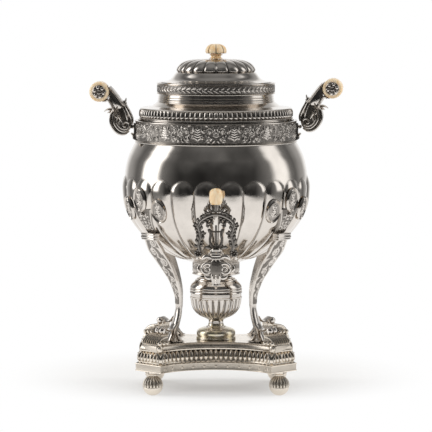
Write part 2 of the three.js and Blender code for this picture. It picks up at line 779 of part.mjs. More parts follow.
function knobCap() {
  const bottom = domeTop + knobStemHeight + seatGap;
  const outline = outlineFrom(knobCapShares, knobRadius, knobCapHeight, bottom);
  const bore = rod(knobPinRadius + seatGap, bottom - overrun, knobCapHeight / 2 + overrun + seatGap);
  return cut(turnedSolid(outline, smallSides), solid(bore));
}

const rollCentreX = bandRadius + handleReach;
const handleBase = bandBottom + handleFootRise;
const rollCentreZ = handleBase + handleRise;

function handlePoints(shares) {
  return shares.map(([out, up]) => [bandRadius + handleReach * out, handleBase + handleRise * up]);
}

// The bracket that carries a handle, curved to the band.
function handleBracket() {
  const inner = bandRadius - bandWall;
  const outer = bandRadius + seatGap + handleBracketThickness;
  const bottom = bandBottom + bandLip + seatGap;
  const top = Math.min(bottom + handleFootHeight, bandTop - bandLip - seatGap);
  const block = plate([[inner, bottom], [outer, bottom], [outer, top], [inner, top]],
    handleFootDepth);
  return cut(block, solid(rod(bandRadius + seatGap, bottom - overrun, top - bottom + 2 * overrun,
    roundSides)));
}

// A handle: an S scroll that rises from the bracket, and a wide arm that cradles the roll.
function handleScroll() {
  const whole = join(
    plate(handlePoints(handleScrollShares), handlePlateDepth),
    plate(handlePoints(handleArmShares), handleArmDepth));
  return cut(whole, solid(crossRod(rollRadius + seatGap, 2 * rollLength, rollCentreX, 0,
    rollCentreZ, roundSides)));
}

function handleRoll() {
  const body = crossRod(rollRadius, rollLength, rollCentreX, 0, rollCentreZ);
  const bore = crossRod(rollPinRadius + seatGap, rollLength + overrun, rollCentreX, 0, rollCentreZ);
  return cut(solid(body), solid(bore));
}

function rollPin() {
  return solid(crossRod(rollPinRadius, rollLength + rollCapThickness, rollCentreX, 0, rollCentreZ));
}

// A rosette cap on one end of the roll, with a blind hole for the pin.
function rollCap(side) {
  const place = side * ((rollLength + rollCapThickness) / 2 + seatGap);
  const cap = new THREE.CylinderGeometry(rollCapRadius, rollCapRadius, rollCapThickness, smallSides);
  const hole = crossRod(rollPinRadius + seatGap, rollLength + rollCapThickness + 2 * seatGap,
    rollCentreX, 0, rollCentreZ);
  return cut(solid(cap.translate(rollCentreX, place, rollCentreZ)), solid(hole));
}

const barrelBottom = tapAxisHeight - tapBarrelHeight / 2;
const barrelTop = tapAxisHeight + tapBarrelHeight / 2;
const headBottom = barrelTop + tapNutHeight + 2 * seatGap;
const headTop = headBottom + plugHeadHeight;
const keyBottom = headBottom;
const keyTop = keyBottom + keyHeight;

// The body's smooth outer form, grown by the seat gap, to cut what is soldered on it.
function bodyForm() {
  return turnedSolid(outlineFrom(bodyOutlineShares, bodyRadius, bodyHeight, bodyBottom, -seatGap));
}

// A turned shape whose axis is the tap's pipe: the outline's points are [radius, y].
function pipeTurned(outline) {
  const points = [[0, outline[0][1]], ...outline, [0, outline.at(-1)[1]]]
    .map(([radius, y]) => new THREE.Vector2(radius, y));
  return solid(new THREE.LatheGeometry(points, smallSides).translate(0, 0, tapAxisHeight));
}

// The tap's pipe, its barrel for the plug and its spout, as one casting.
function tapCasting() {
  const pipe = pipeTurned([[tapPipeRadius, -tapReach], [tapPipeRadius, -tapPipeStart]]);
  const barrel = turnedSolid([
    [spoutRadius, barrelBottom - spoutLength], [spoutRadius, barrelBottom],
    [tapBarrelRadius, barrelBottom], [tapBarrelRadius, barrelTop],
  ], smallSides).translate([0, -tapReach, 0]);
  const way = pipeTurned([[tapWaterway, -tapReach], [tapWaterway, -tapPipeStart / 2]]);
  const bore = turnedSolid([
    [tapWaterway, barrelBottom - spoutLength - overrun], [tapWaterway, barrelBottom + tapTaper],
    [tapBoreRadius - tapTaper, barrelBottom + tapTaper], [tapBoreRadius, barrelTop],
    [tapBoreRadius, barrelTop + overrun],
  ], smallSides).translate([0, -tapReach, 0]);
  return cut(join(pipe, barrel), bodyForm(), way, bore);
}

// A calyx that covers the joint of the pipe and the body.
function tapFlange() {
  const { radius } = bodyRadiusAt(tapAxisHeight + tapFlangeRadius);
  const cone = pipeTurned([
    [tapPipeRadius + tapFlangeThickness, -radius - tapFlangeThickness],
    [tapFlangeRadius, -radius + tapFlangeThickness], [tapFlangeRadius, -tapPipeStart],
  ]);
  const bore = pipeTurned([[tapPipeRadius + seatGap, -tapReach], [tapPipeRadius + seatGap, 0]]);
  return cut(cone, bodyForm(), bore);
}

// The ring screwed on the barrel that keeps the plug in its bore.
function tapNut() {
  const bottom = barrelTop + seatGap;
  const inner = plugStemRadius + plugGap;
  return turnedRing([
    [inner, bottom], [tapNutRadius, bottom], [tapNutRadius, bottom + tapNutHeight],
    [inner, bottom + tapNutHeight],
  ], smallSides).translate([0, -tapReach, 0]);
}

// The tap's conical plug: a stem and a head above, and a water way from below to one side.
function tapPlug() {
  const bottom = barrelBottom + tapTaper + seatGap;
  const outline = [
    [tapBoreRadius - tapTaper - plugGap, bottom], [tapBoreRadius - plugGap, barrelTop - seatGap],
    [plugStemRadius, barrelTop - seatGap], [plugStemRadius, headBottom],
    [plugHeadRadius, headBottom], [plugHeadRadius, headTop],
  ];
  const up = rod(tapWaterway, bottom - overrun, tapAxisHeight - bottom + overrun + tapWaterway / 2);
  const side = new THREE.CylinderGeometry(tapWaterway, tapWaterway, 2 * tapBoreRadius, smallSides)
    .rotateZ(Math.PI / 2)
    .translate(tapBoreRadius, 0, tapAxisHeight);
  return cut(turnedSolid(outline, smallSides), solid(up), solid(side))
    .translate([0, -tapReach, 0]);
}

// Both sides of a symmetric outline, from the points of its right side.
function mirrored(shares, width, height, bottom) {
  const right = shares.map(([x, z]) => [x * width, bottom + z * height]);
  const left = right.map(([x, z]) => [-x, z]).toReversed();
  return [...right, ...left];
}

// The openwork wreath that turns the plug.
function keyWreath() {
  const outer = mirrored(keyOuterShares, keyWidth, keyHeight, keyBottom);
  const inner = mirrored(keyInnerShares, keyWidth, keyHeight, keyBottom);
  const room = rod(plugHeadRadius + seatGap, keyBottom - overrun, plugHeadHeight + 2 * overrun);
  const pin = rod(finialPinRadius, keyTop - joinDepth, finialPinLength + joinDepth, smallSides);
  const frame = cut(plate(outer, keyThickness, [inner]), solid(room));
  return join(frame, solid(pin)).translate([0, -tapReach, 0]);
}

// The small lyre that stands on the plug's head inside the wreath.
function keyLyre() {
  const bottom = headTop + seatGap;
  const frame = plate(mirrored(lyreShares, lyreWidth, lyreHeight, bottom), lyreBar);
  const string = plate([
    [-lyreStringHalf, bottom], [lyreStringHalf, bottom],
    [lyreStringHalf, bottom + lyreStringHeight], [-lyreStringHalf, bottom + lyreStringHeight],
  ], lyreStringThickness);
  const yoke = plate(mirrored(lyreYokeShares, lyreWidth, lyreHeight, bottom), lyreStringThickness);
  return join(frame, string, yoke)
    .translate([0, -tapReach, 0]);
}

// The ivory finial on the key, bored for its pin.
function keyFinial() {
  const outline = outlineFrom(finialShares, finialRadius, finialHeight, keyTop + seatGap);
  const bore = rod(finialPinRadius + seatGap, keyTop - overrun, finialPinLength + overrun + seatGap);
  return cut(turnedSolid(outline, smallSides), solid(bore)).translate([0, -tapReach, 0]);
}

const samovar = new THREE.Group();

function add(name, made, finish, turn = 0) {
  const mesh = piece(name, made, finish);
  mesh.rotation.z = turn;
  samovar.add(mesh);
  return mesh;
}

add("base_plinth", basePlinth(), "silver");
add("base_slab", baseSlab(), "silver");

const corners = [
  ["front_left", -1, -1], ["front_right", 1, -1], ["back_left", -1, 1], ["back_right", 1, 1],
];
for (const [corner, side, back] of corners) {
  const turn = Math.atan2(back * Math.cos(legAzimuth), side * Math.sin(legAzimuth));
  const foot = add(`ball_foot_${corner}`, ballFoot(), "silver");
  foot.position.set(side * footPlaceX, back * footPlaceY, 0);
  add(`corner_block_${corner}`, cornerBlock(), "silver", turn);
  add(`leg_${corner}`, leg(), "silver", turn);
  add(`palmette_${corner}`, palmette(), "silver", turn);
}

add("lamp_foot", lampFoot(), "gilt");
add("lamp_bowl", lampBowl(), "silver");
add("lamp_shoulder", lampShoulder(), "silver");
add("lamp_font", lampFont(), "gilt");
add("wick_tube", wickTube(), "gilt");
add("wick", wick(), "wick");

add("wind_collar", windCollar(), "silver");
add("body_shell", bodyShell(), "silver");
add("body_band", bodyBand(), "silver");
add("shoulder_neck", shoulder(), "silver");

// The right handle stands a little higher than the left one and is turned a little about its foot.
const handleFoot = bandRadius + seatGap + handleBracketThickness;
for (const [side, turn, twist, raise] of [
  ["left", Math.PI, 0, 0], ["right", 0, rightHandleTurn, rightHandleRaise],
]) {
  add(`handle_bracket_${side}`, handleBracket(), "silver", turn);
  const handle = new THREE.Group();
  const out = (handlePlateDepth / 2) * Math.sin(twist);
  handle.position.set(handleFoot * (1 - Math.cos(twist)) + out, -handleFoot * Math.sin(twist), raise);
  handle.add(piece(`handle_scroll_${side}`, handleScroll(), "silver"));
  handle.add(piece(`handle_roll_${side}`, handleRoll(), "ivory"));
  handle.add(piece(`roll_pin_${side}`, rollPin(), "silver"));
  handle.add(piece(`roll_cap_front_${side}`, rollCap(-1), "silver"));
  handle.add(piece(`roll_cap_back_${side}`, rollCap(1), "silver"));
  handle.rotation.z = turn + twist;
  samovar.add(handle);
}

add("tap_casting", tapCasting(), "silver");
add("tap_flange", tapFlange(), "silver");
add("tap_nut", tapNut(), "silver");
add("tap_plug", tapPlug(), "silver");
add("key_wreath", keyWreath(), "silver");
add("key_lyre", keyLyre(), "silver");
add("key_finial", keyFinial(), "ivory");

add("lid_rim", lidRim(), "silver");
add("lid_dome", lidDome(), "silver");
add("knob_pin", knobPin(), "silver");
add("knob_nut", knobNut(), "silver");
add("knob_stem", knobStem(), "ivory");
add("knob_cap", knobCap(), "ivory");

export default samovar;
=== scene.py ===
"""A silver samovar with chased bands, gadroons and cast ornament, dressed over its fixed CAD frame.

Lengths are in metres, the urn stands on its Z axis, and the tap faces -Y. Each piece lies where its CAD
node lies and rides on the same body, so the lid lifts, the tap's key turns and the lamp draws out.
"""

import json
import math

import bmesh
import bpy
import numpy as np
from mathutils import Matrix, Vector


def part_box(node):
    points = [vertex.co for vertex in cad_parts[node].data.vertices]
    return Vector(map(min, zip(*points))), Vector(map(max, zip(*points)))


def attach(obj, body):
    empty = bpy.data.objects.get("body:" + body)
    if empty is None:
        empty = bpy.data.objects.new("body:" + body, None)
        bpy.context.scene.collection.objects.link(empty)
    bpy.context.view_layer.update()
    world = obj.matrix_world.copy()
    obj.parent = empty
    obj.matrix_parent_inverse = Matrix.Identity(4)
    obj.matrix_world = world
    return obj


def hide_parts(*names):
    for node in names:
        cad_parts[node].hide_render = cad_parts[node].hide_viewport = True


bl_info = {
    "name": "Silver samovar",
    "version": (1, 0, 0),
    "blender": (4, 5, 0),
    "location": "View3D > Sidebar > Samovar",
    "description": "Builds the ornament and finishes of a silver samovar over its CAD frame",
    "category": "Object",
}

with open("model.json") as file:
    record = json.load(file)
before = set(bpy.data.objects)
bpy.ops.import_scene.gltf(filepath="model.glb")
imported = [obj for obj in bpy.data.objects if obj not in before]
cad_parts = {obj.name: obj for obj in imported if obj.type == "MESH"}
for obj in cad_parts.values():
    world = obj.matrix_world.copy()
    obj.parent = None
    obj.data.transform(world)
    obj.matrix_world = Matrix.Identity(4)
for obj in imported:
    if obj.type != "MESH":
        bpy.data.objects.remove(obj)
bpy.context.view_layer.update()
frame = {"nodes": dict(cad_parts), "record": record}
MM = 0.001
TURN = 2 * math.pi
CORNER_LEAN = math.radians(52.5)  # from the tap's axis to each leg
RIGHT_HANDLE_TURN = math.radians(-5)  # the right handle has been bent a little
TAP_LEVEL = 176 * MM  # height of the pipe's axis
CORNERS = ("front_left", "front_right", "back_left", "back_right")
SIDES = ("left", "right")


# Colours and node trees
def hex_linear(text):
    """An sRGB hex colour as linear red, green, blue and alpha."""
    parts = [int(text[at:at + 2], 16) / 255 for at in (1, 3, 5)]
    return (*(p / 12.92 if p <= 0.04045 else ((p + 0.055) / 1.055) ** 2.4 for p in parts), 1.0)


def add(tree, kind, settings=None, inputs=None):
    """Adds a node with its settings. An input is keyed by name or number and takes a node, a socket or a
    value."""
    node = tree.nodes.new(kind)
    for name, value in (settings or {}).items():
        setattr(node, name, value)
    for key, value in (inputs or {}).items():
        if isinstance(value, bpy.types.Node):
            value = value.outputs[0]
        if isinstance(value, bpy.types.NodeSocket):
            tree.links.new(value, node.inputs[key])
        else:
            node.inputs[key].default_value = value
    return node


def blank_material(name):
    """A material with an empty tree, its Principled shader and its output."""
    made = bpy.data.materials.new(name)
    made.use_nodes = True
    tree = made.node_tree
    tree.nodes.clear()
    shader = add(tree, "ShaderNodeBsdfPrincipled")
    add(tree, "ShaderNodeOutputMaterial", None, {"Surface": shader})
    return made, tree, shader


def silver_material(name, finish, metal, ground, scratches, matting):
    """Sterling silver. Hand polishing leaves fine swirls and a slow waviness in the sheet, and sulphide
    stays dark in what the cloth can't reach, which each piece marks in its recess attribute."""
    made, tree, shader = blank_material(name)
    place = add(tree, "ShaderNodeTexCoord").outputs["Object"]
    recess = add(tree, "ShaderNodeAttribute", {"attribute_name": "recess"}).outputs["Fac"]
    tarnish = add(tree, "ShaderNodeTexNoise", None, {"Vector": place, "Scale": 1 / (22 * MM), "Detail": 4.0})
    patches = add(tree, "ShaderNodeMapRange", None, {
        "Value": tarnish.outputs["Fac"], "From Min": 0.35, "From Max": 0.75, "To Min": 0.0, "To Max": 0.16})
    dirt = add(tree, "ShaderNodeMath", {"operation": "MULTIPLY_ADD", "use_clamp": True}, {
        0: recess, 1: ground, 2: patches.outputs["Result"]})
    colour = add(tree, "ShaderNodeMix", {"data_type": "RGBA"}, {
        "Factor": dirt, 6: metal, 7: finish.tarnish})
    tree.links.new(colour.outputs[2], shader.inputs["Base Color"])
    swirls = add(tree, "ShaderNodeTexNoise", None, {
        "Vector": place, "Scale": 1 / (1.6 * MM), "Detail": 3.0, "Distortion": 1.5})
    polish = add(tree, "ShaderNodeMapRange", None, {
        "Value": swirls.outputs["Fac"], "To Min": 0.06, "To Max": 0.06 + scratches})
    rough = add(tree, "ShaderNodeMath", {"operation": "MULTIPLY_ADD", "use_clamp": True}, {
        0: recess, 1: 0.42, 2: polish.outputs["Result"]})
    tree.links.new(rough.outputs[0], shader.inputs["Roughness"])
    shader.inputs["Metallic"].default_value = 1.0
    sheet = add(tree, "ShaderNodeTexNoise", None, {"Vector": place, "Scale": 1 / (34 * MM), "Detail": 1.5})
    wave = add(tree, "ShaderNodeBump", None, {
        "Height": sheet.outputs["Fac"], "Strength": 0.25, "Distance": 0.9 * MM})
    punch = add(tree, "ShaderNodeTexVoronoi", None, {"Vector": place, "Scale": 1 / (1.5 * MM)})
    depth = add(tree, "ShaderNodeMath", {"operation": "MULTIPLY"}, {0: punch.outputs["Distance"], 1: recess})
    matted = add(tree, "ShaderNodeBump", None, {
        "Height": depth, "Strength": matting, "Distance": 0.5 * MM, "Normal": wave})
    tree.links.new(matted.outputs[0], shader.inputs["Normal"])
    return made


def ivory_material(finish):
    """Old elephant or walrus ivory, turned and polished: warm cream, with faint growth lines along the
    tusk, browner where fingers and dirt have worked into the grooves."""
    made, tree, shader = blank_material("Turned ivory")
    place = add(tree, "ShaderNodeTexCoord").outputs["Object"]
    recess = add(tree, "ShaderNodeAttribute", {"attribute_name": "recess"}).outputs["Fac"]
    stretched = add(tree, "ShaderNodeMapping", None, {"Vector": place, "Scale": (1.0, 0.25, 0.25)})
    growth = add(tree, "ShaderNodeTexNoise", None, {
        "Vector": stretched, "Scale": 1 / (2.2 * MM), "Detail": 5.0, "Roughness": 0.6})
    cloud = add(tree, "ShaderNodeTexNoise", None, {"Vector": place, "Scale": 1 / (11 * MM), "Detail": 2.0})
    tone = add(tree, "ShaderNodeMath", {"operation": "MULTIPLY"}, {
        0: growth.outputs["Fac"], 1: cloud.outputs["Fac"]})
    warm = add(tree, "ShaderNodeMapRange", None, {"Value": tone, "From Min": 0.1, "From Max": 0.42})
    body = add(tree, "ShaderNodeMix", {"data_type": "RGBA"}, {
        "Factor": warm.outputs["Result"], 6: finish.ivory, 7: finish.ivory_shade})
    worn = add(tree, "ShaderNodeMix", {"data_type": "RGBA"}, {
        "Factor": recess, 6: body.outputs[2], 7: finish.ivory_groove})
    tree.links.new(worn.outputs[2], shader.inputs["Base Color"])
    shader.inputs["Roughness"].default_value = 0.36
    shader.inputs["Subsurface Weight"].default_value = 0.12
    shader.inputs["Subsurface Radius"].default_value = (0.0024, 0.0016, 0.001)
    shader.inputs["IOR"].default_value = 1.54
    grain = add(tree, "ShaderNodeBump", None, {
        "Height": growth.outputs["Fac"], "Strength": 0.15, "Distance": 0.2 * MM})
    tree.links.new(grain.outputs[0], shader.inputs["Normal"])
    return made


def gilt_material(finish):
    """Fire-gilt silver, thin and pale, worn back to the silver on its high places by cleaning."""
    made, tree, shader = blank_material("Fire-gilt silver")
    place = add(tree, "ShaderNodeTexCoord").outputs["Object"]
    wear = add(tree, "ShaderNodeTexNoise", None, {"Vector": place, "Scale": 1 / (7 * MM), "Detail": 5.0})
    share = add(tree, "ShaderNodeMapRange", None, {
        "Value": wear.outputs["Fac"], "From Min": 0.42, "From Max": 0.68})
    colour = add(tree, "ShaderNodeMix", {"data_type": "RGBA"}, {
        "Factor": share.outputs["Result"], 6: finish.gilt, 7: finish.silver})
    tree.links.new(colour.outputs[2], shader.inputs["Base Color"])
    shader.inputs["Metallic"].default_value = 1.0
    rough = add(tree, "ShaderNodeMapRange", None, {
        "Value": wear.outputs["Fac"], "To Min": 0.16, "To Max": 0.34})
    tree.links.new(rough.outputs["Result"], shader.inputs["Roughness"])
    return made


def wick_material(finish):
    """Braided cotton wick: matt, off-white, its plaits crossing at a slant and charred at the tip."""
    made, tree, shader = blank_material("Braided cotton")
    place = add(tree, "ShaderNodeTexCoord").outputs["Object"]
    plait = add(tree, "ShaderNodeTexWave", {"bands_direction": "DIAGONAL"}, {
        "Vector": place, "Scale": 1 / (9 * MM), "Distortion": 1.0})
    height = add(tree, "ShaderNodeSeparateXYZ", None, {0: place}).outputs["Z"]
    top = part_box("wick")[1].z
    char = add(tree, "ShaderNodeMapRange", None, {
        "Value": height, "From Min": top - 4 * MM, "From Max": top})
    colour = add(tree, "ShaderNodeMix", {"data_type": "RGBA"}, {
        "Factor": char.outputs["Result"], 6: finish.cotton, 7: finish.char})
    tree.links.new(colour.outputs[2], shader.inputs["Base Color"])
    shader.inputs["Roughness"].default_value = 0.95
    bump = add(tree, "ShaderNodeBump", None, {
        "Height": plait.outputs["Fac"], "Strength": 0.8, "Distance": 0.4 * MM})
    tree.links.new(bump.outputs[0], shader.inputs["Normal"])
    return made


MATERIALS = {}


def make_materials(finish):
    """Makes every finish once. Chased silver holds more tarnish than plain sheet and has a punched ground,
    and the base, which is polished least, has dulled."""
    for key, label, metal, ground, scratches, matting in (
            ("silver", "Polished", finish.silver, 0.55, 0.10, 0.0),
            ("chased", "Chased", finish.silver, 0.9, 0.16, 0.6),
            ("cast", "Cast", finish.silver, 0.92, 0.2, 0.25),
            ("dulled", "Dulled", finish.dull_silver, 0.62, 0.3, 0.25)):
        MATERIALS[key] = silver_material(label + " sterling silver", finish, metal, ground, scratches,
                                         matting)
    MATERIALS["ivory"] = ivory_material(finish)
    MATERIALS["gilt"] = gilt_material(finish)
    MATERIALS["wick"] = wick_material(finish)


# Meshes
def mesh_of(points, faces):
    """A mesh from points and faces."""
    mesh = bpy.data.meshes.new("shape")
    mesh.from_pydata([tuple(point) for point in points], [], faces)
    mesh.validate()
    return mesh


def tube_mesh(rings, closed=False):
    """A body through rings of points of one length. A closed run joins its last ring to its first, and an
    open one has a fan at each end."""
    rings = np.asarray(rings, float)
    rows, columns, _ = rings.shape
    points = list(rings.reshape(-1, 3))
    faces = []
    for row in range(rows if closed else rows - 1):
        here, above = row * columns, (row + 1) % rows * columns
        for column in range(columns):
            beside = (column + 1) % columns
            faces.append((here + column, here + beside, above + beside, above + column))
    if not closed:
        for row, order in ((0, 1), (rows - 1, -1)):
            points.append(rings[row].mean(axis=0))
            middle = len(points) - 1
            ring = [row * columns + column for column in range(columns)][::order]
            faces += [(middle, ring[(at + 1) % columns], ring[at]) for at in range(columns)]
    return mesh_of(points, faces)


def turned_rings(outline, columns):
    """Rings about Z through (radius, height) points."""
    angle = np.arange(columns) * TURN / columns
    round_z = np.column_stack([np.cos(angle), np.sin(angle)])
    return np.array([np.column_stack([radius * round_z, np.full(columns, height)])
                     for radius, height in outline])


def in_mm(points, x=0.0, z=0.0):
    """Points in metres from points in millimetres off (x, z)."""
    return [(x + out * MM, z + up * MM) for out, up in points]


def in_shares(box, points):
    """Points in metres from shares of the radius and height of a turned CAD node's box."""
    low, high = box
    return [(out * high.x, low.z + up * (high.z - low.z)) for out, up in points]


def smooth_line(points, steps):
    """A Catmull-Rom line through points, with so many steps between each two."""
    points = np.asarray(points, float)
    ends = np.vstack([2 * points[0] - points[1], points, 2 * points[-1] - points[-2]])
    share = np.arange(steps)[:, None] / steps
    line = []
    for p0, p1, p2, p3 in zip(ends, ends[1:], ends[2:], ends[3:]):
        line.append(p1 + share * (p2 - p0) / 2 + share**2 * (p0 - 2.5 * p1 + 2 * p2 - p3 / 2)
                    + share**3 * (1.5 * (p1 - p2) + (p3 - p0) / 2))
    return np.vstack([*line, points[-1:]])


def rounded(points, radius, steps=3, closed=False):
    """A polyline whose corners are turned into small arcs, as a worn moulding's are."""
    points = np.asarray(points, float)
    count = len(points)
    line = [] if closed else [points[0]]
    for at in range(count) if closed else range(1, count - 1):
        before, here, after = points[at - 1], points[at], points[(at + 1) % count]
        into, out = before - here, after - here
        cut = min(radius, 0.45 * np.linalg.norm(into), 0.45 * np.linalg.norm(out))
        start = here + into / max(np.linalg.norm(into), 1e-9) * cut
        end = here + out / max(np.linalg.norm(out), 1e-9) * cut
        for step in range(steps + 1):
            share = step / steps
            line.append((1 - share) ** 2 * start + 2 * share * (1 - share) * here + share**2 * end)
    return np.array(line if closed else [*line, points[-1]])


def set_recess(mesh, values):
    """Marks how deep in tarnish each point lies, from 0 on what is polished to 1 in the grooves."""
    attribute = mesh.attributes.get("recess") or mesh.attributes.new("recess", "FLOAT", "POINT")
    attribute.data.foreach_set("value", np.asarray(values, np.float32).ravel())


def merged(meshes, places=None):
    """One mesh from several, each at its own place if places are given. Recess values are kept."""
    points, faces, recess = [], [], []
    for at, mesh in enumerate(meshes):
        first = len(points)
        place = places[at] if places else Matrix.Identity(4)
        points += [place @ vertex.co for vertex in mesh.vertices]
        turned_in = place.determinant() < 0
        for polygon in mesh.polygons:
            face = tuple(first + index for index in polygon.vertices)
            faces.append(face[::-1] if turned_in else face)
        marks = mesh.attributes.get("recess")
        recess += [d.value for d in marks.data] if marks else [0.0] * len(mesh.vertices)
    made = bpy.data.meshes.new("shape")
    made.from_pydata(points, [], faces)
    set_recess(made, recess)
    return made


def dressed(name, mesh, body, material, replaces=(), crease=35):
    """Makes the finished piece: smooth but for its creases, of one finish, riding on its body."""
    piece = bpy.data.objects.new(name, mesh)
    bpy.context.scene.collection.objects.link(piece)
    mesh.shade_smooth()
    mesh.set_sharp_from_angle(angle=math.radians(crease))
    mesh.materials.clear()
    mesh.materials.append(MATERIALS[material])
    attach(piece, body)
    if replaces:
        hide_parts(*replaces)
    return piece


def spun(angle):
    """A turn about the urn's axis."""
    return Matrix.Rotation(angle, 4, "Z")


def corner_turns():
    """The turn that carries a piece made on +X out to each corner of the base."""
    turns = {}
    for corner in CORNERS:
        side = -1 if "left" in corner else 1
        back = -1 if "front" in corner else 1
        turns[corner] = math.atan2(back * math.cos(CORNER_LEAN), side * math.sin(CORNER_LEAN))
    return turns


# Chasing: ornament drawn as rows of round strokes, each row (x, y, half width, rise)
def stroke(points, widths, rise=1.0):
    """A stroke along points whose half width and rise swell with widths."""
    points = np.asarray(points, float)
    widths = np.broadcast_to(np.asarray(widths, float), len(points))
    peak = max(widths.max(), 1e-9)
    return np.column_stack([points, widths, rise * (0.45 + 0.55 * widths / peak)])


def drop(start, end, width, bend=0.0, rise=1.0, count=9):
    """A leaf lobe or petal: a drop from start to end, widest past its middle, bent to one side."""
    start, end = np.asarray(start, float), np.asarray(end, float)
    share = np.linspace(0, 1, count)[:, None]
    along = end - start
    aside = np.array([-along[1], along[0]]) * bend
    points = start + share * along + np.sin(share * math.pi) * aside
    return stroke(points, width * (0.16 + 0.84 * np.sin(math.pi * share[:, 0] ** 1.35) ** 0.8), rise)


def drops(rows, side=1, x=MM, z=MM, base=0.0):
    """Drops from rows of (x, z, end x, end z, half width in millimetres, bend), in units of x and z above
    a base. A side of -1 mirrors them."""
    return [drop((side * x0 * x, base + z0 * z), (side * x1 * x, base + z1 * z), wide * MM, side * bend)
            for x0, z0, x1, z1, wide, bend in rows]


def curl(centre, outer, inner, start, turns, width, count=34):
    """A volute that winds from its outer radius into its eye."""
    share = np.linspace(0, 1, count)
    angle = start + turns * TURN * share
    reach = outer + (inner - outer) * share**0.85
    points = np.column_stack([centre[0] + reach * np.cos(angle), centre[1] + reach * np.sin(angle)])
    return stroke(points, width * (1 - 0.45 * share))


def rosette(centre, radius, petals=8):
    """Round petals about a boss."""
    rows = []
    for at in range(petals):
        angle = TURN * (at + 0.5) / petals
        way = np.array([math.cos(angle), math.sin(angle)])
        rows.append(drop(centre + way * radius * 0.3, centre + way * radius, radius * 2.1 / petals, 0, 0.9,
                         6))
    rows.append(stroke([centre], [radius * 0.27], 1.0))
    return np.vstack(rows)


def acanthus(start, end, width):
    """A leaf: a midrib with pairs of curling lobes that shorten towards the tip."""
    start, end = np.asarray(start, float), np.asarray(end, float)
    along = end - start
    aside = np.array([-along[1], along[0]])
    rows, lobes = [drop(start, end, width * 0.2)], 5
    for at in range(lobes):
        root = start + (0.08 + 0.78 * at / lobes) * along
        size = width * (1.05 - 0.62 * at / lobes)
        for side in (-1, 1):
            way = along / np.linalg.norm(along) * 0.85 + side * aside / np.linalg.norm(aside)
            rows.append(drop(root, root + way * size * 0.72, width * 0.17, -0.22 * side, 0.85))
    return np.vstack(rows)


def relief(x, y, strokes):
    """The height of strokes over points, from 0 on the ground to 1 on a full one."""
    shape = np.zeros(np.broadcast(x, y).shape)
    for sx, sy, half, rise in strokes:
        reach = 1 - ((x - sx) ** 2 + (y - sy) ** 2) / half**2
        np.maximum(shape, rise * np.sqrt(np.clip(reach, 0, 1)), out=shape)
    return shape


def tarnish_of(height):
    """Dark on the punched ground and bright on the tops."""
    return np.clip(1 - 1.7 * height, 0, 1)


# Geometry node trees
def open_tree(name, inputs):
    """A geometry tree with a geometry input and output and one named input for each size."""
    tree = bpy.data.node_groups.new(name, "GeometryNodeTree")
    tree.interface.new_socket("Geometry", in_out="INPUT", socket_type="NodeSocketGeometry")
    tree.interface.new_socket("Geometry", in_out="OUTPUT", socket_type="NodeSocketGeometry")
    for label, kind in inputs.items():
        tree.interface.new_socket(label, in_out="INPUT", socket_type="NodeSocket" + kind)
    return tree, add(tree, "NodeGroupInput").outputs


def chain(tree, made, steps):
    """Adds a run of sums to a tree. A step is a name, an operation and its terms, each a number, a socket or
    the name of what is made already. SMOOTHSTEP and LINEAR steps are map ranges, MIX steps mixes."""
    for name, operation, *terms in steps:
        terms = [made[term] if isinstance(term, str) else term for term in terms]
        kind, settings, keys = "ShaderNodeMath", {"operation": operation}, range(3)
        if operation in ("SMOOTHSTEP", "LINEAR"):
            kind, settings = "ShaderNodeMapRange", {"interpolation_type": operation}
            keys = ("Value", "From Min", "From Max", "To Min", "To Max")
        elif operation == "MIX":
            kind, settings, keys = "ShaderNodeMix", {"data_type": "FLOAT"}, (0, 2, 3)
        made[name] = add(tree, kind, settings, dict(zip(keys, terms)))
    return made


